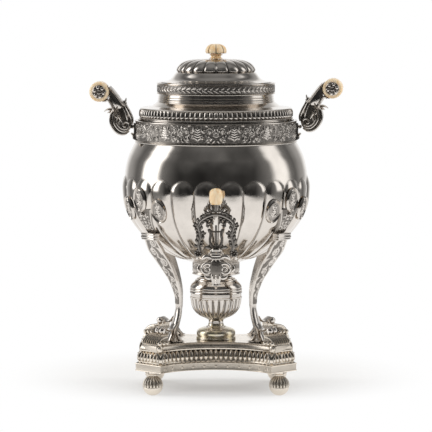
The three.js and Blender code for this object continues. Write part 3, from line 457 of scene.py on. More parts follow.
def lobed_sheet_tree():
    """Raises round-ended lobes in a turned sheet: each is a vault between two valleys, and dies into the
    plain sheet in an arch at its Top and, where the Foot is above the sheet's end, at its foot."""
    labels = ("Depth", "Shallow", "Top", "Foot", "Half width", "Radius", "Shift", "Swell")
    tree, given = open_tree("Lobed sheet", {"Lobes": "Int", **{label: "Float" for label in labels}})
    place = add(tree, "GeometryNodeInputPosition")
    parts = add(tree, "ShaderNodeSeparateXYZ", None, {0: place}).outputs
    flat = add(tree, "ShaderNodeCombineXYZ", None, {0: parts["X"], 1: parts["Y"]})
    outside = add(tree, "GeometryNodeInputNamedAttribute", {"data_type": "FLOAT"}, {"Name": "outside"})
    away = add(tree, "ShaderNodeVectorMath", {"operation": "LENGTH"}, {0: flat}).outputs["Value"]
    fullness = 0.97
    flank = 1 - math.sqrt(1 - fullness)
    made = {"X": parts["X"], "Y": parts["Y"], "Z": parts["Z"], "away": away,
            "outside": outside.outputs["Attribute"], **{label: given[label] for label in ("Lobes", *labels)}}
    chain(tree, made, (
        ("angle", "ARCTAN2", "Y", "X"),
        ("per radian", "DIVIDE", "Lobes", TURN),
        ("step", "MULTIPLY_ADD", "angle", "per radian", "Shift"),
        ("within", "FRACT", "step"),
        ("across", "MULTIPLY_ADD", "within", 2.0, -1.0),
        ("spring", "SUBTRACT", "Top", "Half width"),
        ("above", "SUBTRACT", "Z", "spring"),
        ("up", "DIVIDE", "above", "Half width"),
        ("rise", "MAXIMUM", "up", 0.0),
        ("footing", "ADD", "Foot", "Half width"),
        ("below", "SUBTRACT", "footing", "Z"),
        ("down", "DIVIDE", "below", "Half width"),
        ("fall", "MAXIMUM", "down", 0.0),
        ("across", "MULTIPLY", "across", "across"),
        ("reach", "MULTIPLY_ADD", "rise", "rise", "across"),
        ("reach", "MULTIPLY_ADD", "fall", "fall", "reach"),
        ("inside", "MINIMUM", "reach", 1.0),
        ("vault", "MULTIPLY_ADD", "inside", -fullness, 1.0),
        ("vault", "SQRT", "vault"),
        ("sink", "SUBTRACT", 1.0, "vault"),
        ("sink", "DIVIDE", "sink", flank),
        ("slope", "MULTIPLY_ADD", "Half width", -3.0, "Top"),
        ("ease", "SMOOTHSTEP", "Z", "slope", "Top", 1.0, "Shallow"),
        ("beyond", "MULTIPLY_ADD", "Half width", 2.8, "Top"),
        ("plain", "SMOOTHSTEP", "Z", "Top", "beyond", 1.0, 0.0),
        ("level", "MULTIPLY", "ease", "plain"),
        ("level", "MULTIPLY", "level", "outside"),
        ("girth", "DIVIDE", "away", "Radius"),
        ("depth", "MULTIPLY", "Depth", "level"),
        ("depth", "MULTIPLY", "depth", "girth"),
        ("sink", "MULTIPLY", "sink", "depth"),
        ("low", "MULTIPLY_ADD", "Half width", -2.6, "Top"),
        ("lip", "SMOOTHSTEP", "Z", "low", "Top", 1.0, 0.0),
        ("wide", "POWER", "girth", 3.0),
        ("lip", "MULTIPLY", "lip", "wide"),
        ("swell", "MULTIPLY", "Swell", "outside"),
        ("swell", "MULTIPLY", "lip", "swell"),
        ("move", "SUBTRACT", "swell", "sink"),
        ("groove", "SMOOTHSTEP", "reach", 0.78, 1.0),
        ("past", "SMOOTHSTEP", "reach", 1.0, 1.3, 1.0, 0.0),
        ("groove", "MULTIPLY", "groove", "past"),
        ("groove", "MULTIPLY", "groove", "level")))
    way = add(tree, "ShaderNodeVectorMath", {"operation": "NORMALIZE"}, {0: flat})
    move = add(tree, "ShaderNodeVectorMath", {"operation": "SCALE"}, {0: way, "Scale": made["move"]})
    moved = add(tree, "GeometryNodeSetPosition", None, {"Geometry": given["Geometry"], "Offset": move})
    stored = add(tree, "GeometryNodeStoreNamedAttribute", {"data_type": "FLOAT", "domain": "POINT"}, {
        "Geometry": moved, "Name": "recess", "Value": made["groove"]})
    add(tree, "NodeGroupOutput", None, {"Geometry": stored})
    return tree


def copies_tree():
    """Sets copies of a unit along a path, its X along the path and its Z upright, as single meshes."""
    tree, given = open_tree("Copies along a path", {
        "Unit": "Object", "Copies": "Int", "Material": "Material"})
    line = add(tree, "GeometryNodeMeshToCurve", None, {"Mesh": given["Geometry"]})
    even = add(tree, "GeometryNodeResampleCurve", None, {"Curve": line, "Count": given["Copies"]})
    tangent = add(tree, "GeometryNodeInputTangent")
    turn = add(tree, "FunctionNodeAxesToRotation", {"primary_axis": "X", "secondary_axis": "Z"}, {
        "Primary Axis": tangent, "Secondary Axis": (0, 0, 1)})
    unit = add(tree, "GeometryNodeObjectInfo", {"transform_space": "ORIGINAL"}, {
        "Object": given["Unit"], "As Instance": True}).outputs["Geometry"]
    placed = add(tree, "GeometryNodeInstanceOnPoints", None, {
        "Points": even, "Instance": unit, "Rotation": turn})
    real = add(tree, "GeometryNodeRealizeInstances", None, {"Geometry": placed})
    dressed_copies = add(tree, "GeometryNodeSetMaterial", None, {
        "Geometry": real, "Material": given["Material"]})
    add(tree, "NodeGroupOutput", None, {"Geometry": dressed_copies})
    return tree


TREES = {}


def grown(tree_name, base, values):
    """Runs a tree on a base mesh with its inputs set, and returns the result as a plain mesh."""
    if tree_name not in TREES:
        TREES[tree_name] = {"lobes": lobed_sheet_tree, "copies": copies_tree}[tree_name]()
    tree = TREES[tree_name]
    holder = bpy.data.objects.new("holder", base)
    modifier = holder.modifiers.new("Ornament", "NODES")
    modifier.node_group = tree
    for item in tree.interface.items_tree:
        if item.in_out == "INPUT" and item.name in values:
            modifier[item.identifier] = values[item.name]
    bpy.context.scene.collection.objects.link(holder)
    evaluated = holder.evaluated_get(bpy.context.evaluated_depsgraph_get())
    mesh = bpy.data.meshes.new_from_object(evaluated)
    bpy.data.objects.remove(holder)
    return mesh


def lobed(rings, outside, **values):
    """A turned shell with lobes on its outer rows, which outside marks with 1."""
    base = tube_mesh(rings)
    attribute = base.attributes.new("outside", "FLOAT", "POINT")
    marks = np.zeros(len(base.vertices), np.float32)
    marks[:rings.shape[0] * rings.shape[1]] = np.repeat(np.asarray(outside, np.float32), rings.shape[1])
    attribute.data.foreach_set("value", marks)
    return grown("lobes", base, {name.replace("_", " "): value for name, value in values.items()})


def copies(path, unit, count, material, closed=True):
    """Even copies of a unit mesh along a path of points."""
    line = bpy.data.meshes.new("path")
    edges = [(at, at + 1) for at in range(len(path) - 1)]
    if closed:
        edges.append((len(path) - 1, 0))
    line.from_pydata([tuple(point) for point in path], edges, [])
    holder = bpy.data.objects.new("unit", unit)
    mesh = grown("copies", line, {"Unit": holder, "Copies": count, "Material": MATERIALS[material]})
    bpy.data.objects.remove(holder)
    return mesh


def circle(radius, height, steps=192):
    """Points round the urn's axis."""
    return [(radius * math.cos(TURN * at / steps), radius * math.sin(TURN * at / steps), height)
            for at in range(steps)]


def pod(spine, widths, rises, sides=6, sunk=0.4 * MM, ridge=0.0):
    """A gadroon or leaf lobe lying on a sheet: vaulted cross sections along a spine of (out, up) points.
    Its X runs across it, and out is along -Y. A ridge of 1 gives it flat flanks like a roof."""
    spine = np.asarray(spine, float)
    run = np.gradient(spine, axis=0)
    run /= np.maximum(np.linalg.norm(run, axis=1, keepdims=True), 1e-9)
    normal = np.column_stack([run[:, 1], -run[:, 0]])
    bend = np.arange(sides + 1) * math.pi / sides
    rings = []
    for (out, up), facing, wide, rise in zip(spine, normal, widths, rises):
        ring = []
        for angle in bend:
            vault = (1 - ridge) * math.sin(angle) + ridge * (1 - abs(math.cos(angle)))
            lift = rise * vault - sunk
            ring.append((wide * math.cos(angle), -(out + facing[0] * lift), up + facing[1] * lift))
        rings.append(ring)
    mesh = tube_mesh(np.array(rings))
    marks = np.tile(np.clip(1 - 2.2 * np.sin(bend), 0, 1), len(rings))
    set_recess(mesh, [*marks, 0.6, 0.6])
    return outward(mesh)


def outward(mesh):
    """Turns every face of closed shapes outwards."""
    work = bmesh.new()
    work.from_mesh(mesh)
    bmesh.ops.recalc_face_normals(work, faces=work.faces)
    work.to_mesh(mesh)
    work.free()
    return mesh


# The body, as shares of its radius and height from the foot up
BODY_SHARES = [
    (0.256, 0), (0.32, 0.017), (0.437, 0.046), (0.554, 0.093), (0.671, 0.155), (0.778, 0.23),
    (0.864, 0.314), (0.927, 0.397), (0.97, 0.49), (0.991, 0.582), (1, 0.657), (0.991, 0.732),
    (0.975, 0.799), (0.943, 0.874), (0.9, 0.941), (0.858, 1),
]
SHEET = 1.6 * MM


def body_outline(steps=8):
    """The body's smooth outline as (radius, height) points."""
    low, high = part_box("body_shell")
    line = smooth_line(BODY_SHARES, steps)
    line[:, 0] = np.minimum(line[:, 0], 1) * high.x
    line[:, 1] = low.z + line[:, 1] * (high.z - low.z)
    return line


def body_at(height):
    """The body's radius at a height, and its slope there."""
    line = body_outline()
    radius = float(np.interp(height, line[:, 1], line[:, 0]))
    above = float(np.interp(height + MM, line[:, 1], line[:, 0]))
    return radius, (above - radius) / MM


class SAMOVAR_OT_body(bpy.types.Operator):
    """Raises the body with its lobes"""
    bl_idname = "samovar.body"
    bl_label = "Body"

    def execute(self, context):
        sizes = context.scene.samovar_sizes
        outer = body_outline()
        low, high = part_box("body_shell")
        inner = body_outline(2)[::-1]
        inner = np.column_stack([inner[:, 0] - SHEET - sizes.lobe_depth, inner[:, 1] + SHEET])
        inner = inner[inner[:, 1] < high.z]
        axis = 0.5 * MM
        rim = [(inner[0][0] + 0.2 * MM, high.z - 0.2 * MM)]
        outline = np.vstack([[(axis, low.z)], outer, rim, inner, [(axis, inner[-1][1])]])
        outside = [0, *[1] * len(outer), *[0] * (len(inner) + 2)]
        columns_of_lobe = 18
        rings = turned_rings(outline, sizes.body_lobes * columns_of_lobe)
        below_the_body = -1.0
        mesh = lobed(rings, outside, Lobes=sizes.body_lobes, Depth=sizes.lobe_depth, Shallow=0.58,
                     Swell=sizes.lobe_swell, Top=sizes.lobe_top, Foot=below_the_body,
                     Half_width=math.pi * high.x / sizes.body_lobes, Radius=high.x, Shift=sizes.lobe_shift)
        dressed("body", mesh, "urn", "silver", ["body_shell"], crease=30)
        return {"FINISHED"}


# The band, the shoulder and the neck
def chased_ring(low, high, ground, ends, units, pitch_steps, rows, strokes, rise, core):
    """A ring about Z with a band of chasing between two plain edges. The ground is the radius under the
    ornament, ends the outline points below and above it, and core the points that close it on the inside."""
    heights = np.linspace(low, high, rows)
    pitch = TURN * ground / units
    x, y = np.meshgrid((np.arange(pitch_steps) / pitch_steps - 0.5) * pitch, heights - (low + high) / 2)
    shape = np.maximum.reduce([relief(x + shift * pitch, y, strokes) for shift in (-1, 0, 1)])
    columns = units * pitch_steps
    angle = np.arange(columns) * TURN / columns - TURN / 4 - math.pi / units
    whole = np.tile(shape, units)
    below, above = ends
    plain = [np.full(columns, radius) for radius, _ in (*below, *above, *core)]
    radii = np.vstack([*plain[:len(below)], ground + rise * whole, *plain[len(below):]])
    levels = [z for _, z in below] + list(heights) + [z for _, z in (*above, *core)]
    mesh = tube_mesh([np.column_stack([row * np.cos(angle), row * np.sin(angle), np.full(columns, z)])
                      for row, z in zip(radii, levels)], closed=True)
    dark = np.zeros_like(radii)
    dark[len(below):len(below) + rows] = tarnish_of(whole)
    set_recess(mesh, dark * 0.55)
    return mesh


# Leaves of half a band unit as drops, and its curls: (x, z, outer, inner, start on the right and on the left,
# turns, half width in millimetres). x is a share of half a unit, the rest of half the band's height.
BAND_LEAVES = (
    (0.14, 0.25, 0.16, 0.95, 1.2, 0.2), (0.14, -0.3, 0.2, -0.95, 1.2, -0.2),
    (0.62, -0.9, 0.58, 0.1, 1.5, 0.3),
    (0.56, 0.2, 0.74, 0.9, 1.4, -0.3), (0.3, -0.05, 0.52, 0.06, 0.8, 0.3), (0.42, 0.8, 0.6, 0.92, 0.8, 0.2),
    (0.3, -0.9, 0.5, -0.86, 0.8, 0.2))
BAND_CURLS = (
    (0.36, 0.36, 0.4, 0.08, 3.4, -0.3, -1.6, 0.75), (0.37, -0.42, 0.3, 0.08, -3.3, 0.2, 1.4, 0.8),
    (0.74, -0.3, 0.2, 0.05, 1, -1, 1.4, 0.6), (0.66, 0.3, 0.17, 0.05, -1, 1, -1.3, 0.6))


class SAMOVAR_OT_band(bpy.types.Operator):
    """Chases rosettes, scrolls and leaves on the band under the shoulder"""
    bl_idname = "samovar.band"
    bl_label = "Engraved band"

    def execute(self, context):
        sizes = context.scene.samovar_sizes
        low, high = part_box("body_band")
        edge = high.x
        bottom, top = low.z + 3.6 * MM, high.z - 1.6 * MM
        half = (top - bottom) / 2
        reach = math.pi * edge / sizes.band_units
        rows = [rosette((0, 0), 0.34 * half, 8)]
        for side in (-1, 1):
            rows += drops(BAND_LEAVES, side, reach, half)
            rows += [curl((side * x * reach, z * half), outer * half, inner * half,
                          right if side > 0 else left, side * turns, wide * MM)
                     for x, z, outer, inner, right, left, turns, wide in BAND_CURLS]
            rows += [rosette((side * 0.36 * reach, 0.36 * half), 0.14 * half, 5),
                     acanthus((side * reach, -0.95 * half), (side * reach, 0.95 * half), 0.62 * half)]
        below = in_mm([(-4.2, 0), (-0.5, 0), (0, 0.5), (0, 1.3), (-0.8, 1.7), (-0.1, 2.1), (-0.1, 3),
                       (-1.5, 3.4)],
                      edge, low.z)
        above = in_mm([(-1.5, -1.4), (0, -1.1), (0, -0.4), (-0.4, 0)], edge, high.z)
        mesh = chased_ring(bottom, top, edge - 1.5 * MM, (below, above), sizes.band_units, 72, 38,
                           np.vstack(rows) * [1, 1, 0.82, 1], 1.0 * MM, in_mm([(-4.2, 0)], edge, high.z))
        dressed("band", mesh, "urn", "chased", ["body_band"], crease=50)
        return {"FINISHED"}


class SAMOVAR_OT_shoulder(bpy.types.Operator):
    """Turns the shoulder with its gadroons, its cove and its ringed neck"""
    bl_idname = "samovar.shoulder"
    bl_label = "Shoulder and neck"

    def execute(self, context):
        sizes = context.scene.samovar_sizes
        low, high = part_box("shoulder_neck")
        edge = high.x - MM
        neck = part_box("lid_rim")[1].x - 2.6 * MM
        mouldings = in_mm([
            (-3.4, 0), (-0.2, 0), (0, 0.5), (0, 1.5), (-0.9, 1.8), (0, 2.1), (0, 3.3), (-1.6, 3.9),
            (-2.8, 4.6),
            (-2.3, 9.6), (-3.6, 14.4), (-2.2, 14.9), (-2, 15.8), (-3.2, 16.3), (-9, 16.7), (-15, 17.6),
            (-20, 19)], edge, low.z)
        rings_of_neck = in_mm([
            (3, 20.8), (1.7, 22.2), (2.1, 22.5), (2.1, 23.6), (1, 24), (1.4, 24.3), (1.4, 26), (0.5, 26.4),
            (0.9, 26.7), (0.9, 29.2), (0.2, 29.6), (0.6, 29.9), (0.6, 31.6), (0, 31.9)], neck, low.z)
        inside = [(neck - SHEET, high.z), (neck - SHEET, low.z + 26 * MM),
                  *in_mm([(-17, 18), (-5, 13), (-5, 1)], edge, low.z)]
        line = np.vstack([rounded([*mouldings, *rings_of_neck, (neck, high.z)], 0.35 * MM, 2), inside])
        columns = 288
        shell = tube_mesh(turned_rings(line, columns), closed=True)
        radius, height = line[:, 0], line[:, 1] - low.z
        groove = np.isclose(radius, edge - 0.9 * MM, atol=0.4 * MM) & (height < 4 * MM)
        groove |= (radius > edge - 3 * MM) & (height > 3.7 * MM) & (height < 15 * MM)
        set_recess(shell, np.repeat(groove * 0.8, columns))
        spine = smooth_line(in_mm([(-2.4, 4.3), (-1.5, 6.4), (-1.7, 11.6), (-3, 14.9)]), 3)
        share = np.linspace(0, 1, len(spine))
        full = np.sin(math.pi * np.clip(share * 0.84 + 0.08, 0, 1)) ** 0.35
        gadroon = pod(spine, 0.88 * full * math.pi * edge / sizes.shoulder_gadroons, full * 2.5 * MM, sides=8,
                      sunk=1.2 * MM, ridge=0.5)
        row = copies(circle(edge, low.z), gadroon, sizes.shoulder_gadroons, "chased")
        dressed("shoulder", shell, "urn", "silver", ["shoulder_neck"], crease=30)
        dressed("shoulder_gadroons", row, "urn", "chased", crease=60)
        return {"FINISHED"}


# The lid
def segmented(outline, columns, segments, depth):
    """Turned ivory carved into segments by narrow grooves, which are marked as recess."""
    wave = np.sin(np.arange(columns) * TURN / columns * segments / 2)
    widest = outline[:, 0].max()
    rings = turned_rings(outline, columns)
    rings[:, :, :2] *= (1 - depth / widest * np.exp(-(wave / 0.16) ** 2))[:, None]
    mesh = tube_mesh(rings)
    dirt = np.outer(np.clip(outline[:, 0] / widest, 0, 1), np.exp(-(wave / 0.2) ** 2))
    set_recess(mesh, [*dirt.ravel(), 0, 0])
    return mesh


class SAMOVAR_OT_lid(bpy.types.Operator):
    """Makes the lid: a rim with laurel, a lobed dome and an ivory knob"""
    bl_idname = "samovar.lid"
    bl_label = "Lid"

    def execute(self, context):
        self.rim(context.scene.samovar_sizes)
        self.dome(context.scene.samovar_sizes)
        self.knob(context.scene.samovar_sizes)
        return {"FINISHED"}

    def rim(self, sizes):
        """A ring with a wreath of laurel between two lines."""
        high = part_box("lid_rim")[1]
        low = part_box("shoulder_neck")[1].z + 0.3 * MM
        edge = high.x
        half = (high.z - low) / 2
        reach = math.pi * edge / sizes.laurel_leaves
        leaves = [drop((1.1 * reach, side * 0.62 * half), (-0.9 * reach, side * 0.06 * half), 0.15 * half,
                       0.1 * side) for side in (-1, 1)]
        leaves += [drop((0.4 * reach, 0), (-0.9 * reach, 0), 0.08 * half)]
        below = in_mm([(-5.2, 0), (-0.4, 0), (0, 0.4), (0, 1.1), (-1, 1.4), (-0.3, 1.7), (-0.3, 2.1)], edge,
                      low)
        above = in_mm([(-0.3, -2.1), (-0.3, -1.6), (-1, -1.3), (0, -0.9), (0, -0.3), (-0.3, 0)], edge, high.z)
        bezel = in_mm([(-7, 0), (-5.2, 0)], edge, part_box("lid_rim")[0].z)
        mesh = chased_ring(low + 2.4 * MM, high.z - 2.4 * MM, edge - MM, (below, above), sizes.laurel_leaves,
                           16, 26, np.vstack(leaves), 0.75 * MM,
                           [*in_mm([(-8, 0), (-7, -1.8)], edge, high.z), *bezel])
        dressed("lid_rim_chased", mesh, "lid", "chased", ["lid_rim"], crease=50)

    def dome(self, sizes):
        """A cove that rises to a crown of tapering lobes."""
        low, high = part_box("lid_dome")
        foot = high.x
        tall = high.z - low.z
        shares = [(0.985, 0.035), (0.92, 0.05), (0.86, 0.085), (0.81, 0.145), (0.775, 0.23), (0.745, 0.33),
                  (0.715, 0.42), (0.685, 0.47), (0.665, 0.58), (0.635, 0.7), (0.58, 0.81), (0.47, 0.9),
                  (0.3, 0.945), (0.09, 0.955)]
        curve = smooth_line(in_shares(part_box("lid_dome"), shares), 4)
        curve[:, 1] = np.minimum(curve[:, 1], high.z)
        inside = [(out - 1.4 * MM, up - 1.4 * MM) for out, up in curve[::-3] if out > 0.1 * foot]
        line = np.vstack([[(foot, low.z), (foot, low.z + 1.0 * MM)], curve,
                          [(curve[-1][0], curve[-1][1] - 1.4 * MM)], inside, [(foot - 3 * MM, low.z)]])
        columns = 192
        shell = tube_mesh(turned_rings(line, columns), closed=True)
        set_recess(shell, np.repeat((line[:, 0] < 0.69 * foot) & (line[:, 1] > low.z + 0.46 * tall), columns))
        dressed("lid_dome_turned", outward(shell), "lid", "silver", ["lid_dome"])
        spine = smooth_line(in_shares(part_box("lid_dome"), [
            (0.7, 0.45), (0.692, 0.56), (0.668, 0.67), (0.615, 0.8), (0.52, 0.9), (0.38, 0.955),
            (0.16, 0.98)]), 4)
        spine[:, 0] -= 0.7 * MM
        share = np.linspace(0, 1, len(spine))
        bulge = np.clip(share / 0.16, 0, 1)
        start = np.sqrt(1 - (1 - bulge) ** 2)
        widths = 0.985 * math.pi * spine[:, 0] / sizes.dome_lobes * np.maximum(start, 0.06)
        lobe = pod(spine, widths, 0.2 * MM + 2.7 * MM * start * (1 - 0.75 * share), sides=8, sunk=0.5 * MM)
        lobes = merged([lobe] * sizes.dome_lobes,
                       [spun(TURN * (at + 0.5) / sizes.dome_lobes) for at in range(sizes.dome_lobes)])
        dressed("lid_lobes", lobes, "lid", "chased", crease=60)

    def knob(self, sizes):
        """A ringed stem and a carved ivory cap on it."""
        low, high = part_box("knob_stem")
        line = in_shares(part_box("knob_stem"), [(1, 0), (1, 0.14), (0.82, 0.2), (0.72, 0.45), (0.8, 0.66),
                                       (0.98, 0.72),
                                       (0.98, 0.86), (0.8, 0.92), (0.8, 1)])
        stem = tube_mesh(turned_rings(rounded([(0.4 * MM, low.z), *line, (0.4 * MM, high.z)], 0.3 * MM, 2),
                                      48))
        dressed("knob_stem_turned", stem, "lid", "ivory", ["knob_stem"])
        line = smooth_line([(0.02, 0), (0.55, 0.0), (0.9, 0.03), (0.99, 0.15), (0.97, 0.42), (0.84, 0.7),
                            (0.58, 0.91), (0.3, 0.98), (0.03, 1)], 4)
        line = np.array(in_shares(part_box("knob_cap"), np.clip(line, [0.02, 0], 1)))
        dressed("knob_cap_carved", segmented(line, 128, sizes.knob_segments, 1.1 * MM), "lid", "ivory",
                ["knob_cap"], crease=60)


# Straight and bent solids
def limb(points, widths, depths, sides=8, aside=0.0):
    """A closed solid with oval sections along (x, z) points: widths are half sizes in that plane and depths
    across it, along Y."""
    points = np.asarray(points, float)
    run = np.gradient(points, axis=0)
    run /= np.maximum(np.linalg.norm(run, axis=1, keepdims=True), 1e-12)
    normal = np.column_stack([-run[:, 1], run[:, 0]])
    angle = np.arange(sides) * TURN / sides
    widths = np.broadcast_to(widths, len(points))
    depths = np.broadcast_to(depths, len(points))
    rings = []
    for point, way, wide, deep in zip(points, normal, widths, depths):
        flat = point + np.outer(np.cos(angle) * wide, way)
        rings.append(np.column_stack([flat[:, 0], aside + deep * np.sin(angle), flat[:, 1]]))
    return outward(tube_mesh(np.array(rings)))


def ball(x, z, radius, sides, aside=0.0, depth=1.0, tip=0.05, count=9):
    """A ball of ornament, deeper or flatter along Y by its depth."""
    arc = np.linspace(tip, math.pi - tip, count)
    return limb(np.column_stack([x - radius * np.cos(arc), np.full(count, z)]), radius * np.sin(arc),
                depth * radius * np.sin(arc), sides, aside)


def bar(outline, half_width, edge, centre=0.0):
    """A closed outline of (x, z) points drawn out along Y, with its end edges rounded off."""
    outline = np.asarray(outline, float)
    middle = outline.mean(axis=0)
    away = outline - middle
    reach = np.maximum(np.linalg.norm(away, axis=1, keepdims=True), 1e-9)
    rings = []
    for place, inset in ((-1, 1), (-1 + 0.3 * edge / half_width, 0.3), (-1 + edge / half_width, 0),
                         (1 - edge / half_width, 0), (1 - 0.3 * edge / half_width, 0.3), (1, 1)):
        here = middle + away * (1 - np.minimum(edge * inset / reach, 0.5))
        rings.append(np.column_stack([here[:, 0], np.full(len(here), centre + place * half_width),
                                      here[:, 1]]))
    return outward(tube_mesh(np.array(rings)))


def solid_strokes(rows, depth, sides=6):
    """Strokes of chasing as solids in the XZ plane, as deep as wide times depth."""
    meshes = []
    for part in rows:
        if len(part) == 1:
            meshes.append(ball(*part[0, :3], sides, depth=depth, tip=0.08, count=7))
        else:
            meshes.append(limb(part[:, :2], part[:, 2], part[:, 2] * depth, sides))
    return meshes


def plan_sides(edge, cut, offset, steps=20):
    """The incurved sides of the base's oblong plan, anticlockwise from the front, grown by an offset. A cut
    corner joins each side's end to the next one's start."""
    sizes = bpy.context.scene.samovar_sizes
    sides = []
    for side in range(4):
        length, depth = (edge.x, edge.y) if side % 2 == 0 else (edge.y, edge.x)
        hollow = sizes.long_hollow if side % 2 == 0 else sizes.short_hollow
        reach = length - cut
        bend = (reach**2 + hollow**2) / (2 * hollow)
        centre = hollow - bend - depth
        radius = bend - offset
        corner = reach + depth + math.sqrt(2) * offset + centre
        along = (corner + math.sqrt(2 * radius**2 - corner**2)) / 2 * np.linspace(-1, 1, steps)
        inward = centre + np.sqrt(radius**2 - along**2)
        turn = side * TURN / 4
        sides.append(np.column_stack([along * math.cos(turn) - inward * math.sin(turn),
                                      along * math.sin(turn) + inward * math.cos(turn)]))
    return sides


def inset_run(line, height, pitch):
    """Even places along a line, half a pitch in from its ends, and how many fit."""
    lengths = np.concatenate([[0], np.cumsum(np.linalg.norm(np.diff(line, axis=0), axis=1))])
    count = max(round(lengths[-1] / pitch), 1)
    at = (np.arange(count) + 0.5) * lengths[-1] / count
    places = np.column_stack([np.interp(at, lengths, line[:, 0]), np.interp(at, lengths, line[:, 1])])
    return [(x, y, height) for x, y in places], count


def moulded(edge, cut, profile):
    """A solid whose plan follows a profile of (offset, height) points."""
    rings = []
    for offset, height in profile:
        ring = np.vstack(plan_sides(edge, cut, offset))
        rings.append(np.column_stack([ring, np.full(len(ring), height)]))
    return np.array(rings)


class SAMOVAR_OT_base(bpy.types.Operator):
    """Builds the moulded plinth and slab with gadroons, stars and fluted ball feet"""
    bl_idname = "samovar.base"
    bl_label = "Base"

    def execute(self, context):
        sizes = context.scene.samovar_sizes
        self.plinth(sizes)
        self.slab(sizes)
        self.feet(sizes)
        return {"FINISHED"}

    def plinth(self, sizes):
        """The lower plinth: a shell with a fascia between two fillets, a dark bed under the gadroons, and
        a pad over each ball foot."""
        low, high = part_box("base_plinth")
        ceiling = high.z - 3 * MM
        outside = [(-0.9, 0), (-0.1, 0), (0, 0.4), (0, 1.2), (-0.7, 1.5), (-0.7, 8.4), (0, 8.7), (0, 9.9),
                   (-0.6, 10.1), (-1.6, 10.7), (-2.6, 11.6), (-3.2, 12.6), (-3.6, 12.9)]
        bed = [(-4.2, 15), (-4.3, 18), (-5.2, 21.5), (-6.6, 23.6), (-8, 24.6)]
        profile = [(-10 * MM, ceiling), (-9 * MM, low.z)]
        profile += in_mm([*rounded(outside, 0.3, 2), *bed], 0, low.z)
        rings = moulded(high, sizes.plinth_cut, profile)
        shell = tube_mesh(rings)
        heights = np.array([height - low.z for _, height in profile])
        fascia = (np.abs(heights - 5 * MM) < 3.5 * MM) * 0.45 + (heights > 13 * MM) * 0.8
        fascia[:2] = 0.5
        set_recess(shell, [*np.repeat(fascia, rings.shape[1]), 0.5, 0.9])
        pads, places = [shell], [Matrix.Identity(4)]
        for corner in CORNERS:
            middle = sum(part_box("ball_foot_" + corner), Vector()) / 2
            pads.append(tube_mesh(turned_rings([(5 * MM, low.z + 0.3 * MM), (5 * MM, ceiling)], 32)))
            places.append(Matrix.Translation((middle.x, middle.y, 0)))
        dressed("plinth", merged(pads, places), "urn", "dulled", ["base_plinth"], crease=40)
        self.gadroons(sizes, high, low.z)
        self.stars(sizes, high, low.z + 5 * MM)

    def gadroons(self, sizes, edge, base):
        """The skirt of gadroons, in whole numbers on each side and corner of the plinth."""
        spine = smooth_line(in_mm([(-3, 12.8), (-1, 14.6), (-0.9, 17.6), (-2, 21.2), (-3.9, 24),
                                   (-6.4, 25.8)]), 2)
        share = np.linspace(0, 1, len(spine))
        full = np.clip(np.sin(math.pi * (0.14 + 0.66 * share)), 0.3, 1) ** 0.45
        gadroon = pod(spine - [2.6 * MM, 0], full * 0.44 * sizes.gadroon_pitch, full * 3.0 * MM, sides=10,
                      sunk=0.7 * MM, ridge=0.3)
        sides = plan_sides(edge, sizes.plinth_cut, 0, 60)
        corners = [np.array([side[-1], following[0]]) for side, following in zip(sides,
                                                                                 sides[1:] + sides[:1])]
        rows = []
        for run in sides + corners:
            path, count = inset_run(run, base, sizes.gadroon_pitch)
            rows.append(copies(path, gadroon, count, "chased", closed=False))
        dressed("skirt_gadroons", merged(rows), "urn", "dulled", crease=60)

    def stars(self, sizes, edge, height):
        """Stars with leaves between them, along each curved side of the fascia."""
        rays = 8
        rows = [drop((0, 0), (2.5 * MM * math.cos(angle), 2.5 * MM * math.sin(angle)), 0.6 * MM)
                for angle in np.arange(rays) * TURN / rays]
        for side in (-1, 1):
            rows += drops([(3.2, 0, 6.6, 1.6 * side, 0.55, 0.2 * side),
                           (3.2, 0, 6.6, -1.6 * side, 0.55, -0.2 * side)], side)
            rows.append(stroke([(side * 2.9 * MM, 0), (side * 3.1 * MM, 0)], [0.5 * MM, 0.5 * MM]))
        rows.append(np.array([[0, 0, 1.5 * MM, 1]]))
        star = merged(solid_strokes(rows, 0.7))
        runs = []
        for run in plan_sides(edge, sizes.plinth_cut, -0.8 * MM, 60):
            path, count = inset_run(run, height, sizes.star_pitch)
            runs.append(copies(path, star, count, "chased", closed=False))
        dressed("fascia_stars", merged(runs), "urn", "dulled", crease=60)

    def slab(self, sizes):
        """The upper slab, moulded over a narrow fillet."""
        low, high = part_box("base_slab")
        tall = high.z - low.z
        outside = [(-3.0, 0), (-0.4, 0.02), (0, 0.06), (0, 0.19), (-0.4, 0.23), (-1.9, 0.25), (-1.9, 0.29),
                   (-1.5, 0.31), (-1.6, 0.5), (-2.2, 0.68), (-3.2, 0.82), (-4.4, 0.92), (-4.5, 0.96),
                   (-5.2, 1.0)]
        profile = [(-9 * MM, high.z - 3 * MM), (-9 * MM, low.z)]
        profile += [(out * MM, low.z + tall * up) for out, up in outside]
        profile += [(-6 * MM, high.z), (-14 * MM, high.z)]
        rings = moulded(high, sizes.slab_cut, profile)
        mesh = tube_mesh(rings)
        marks = [0.8 if up in (0.25, 0.29) else 0.22 if 0.3 < up < 0.93 else 0 for _, up in outside]
        set_recess(mesh, [*np.repeat([0.5, 0.5, *marks, 0, 0], rings.shape[1]), 0.5, 0])
        dressed("slab", mesh, "urn", "dulled", ["base_slab"], crease=25)

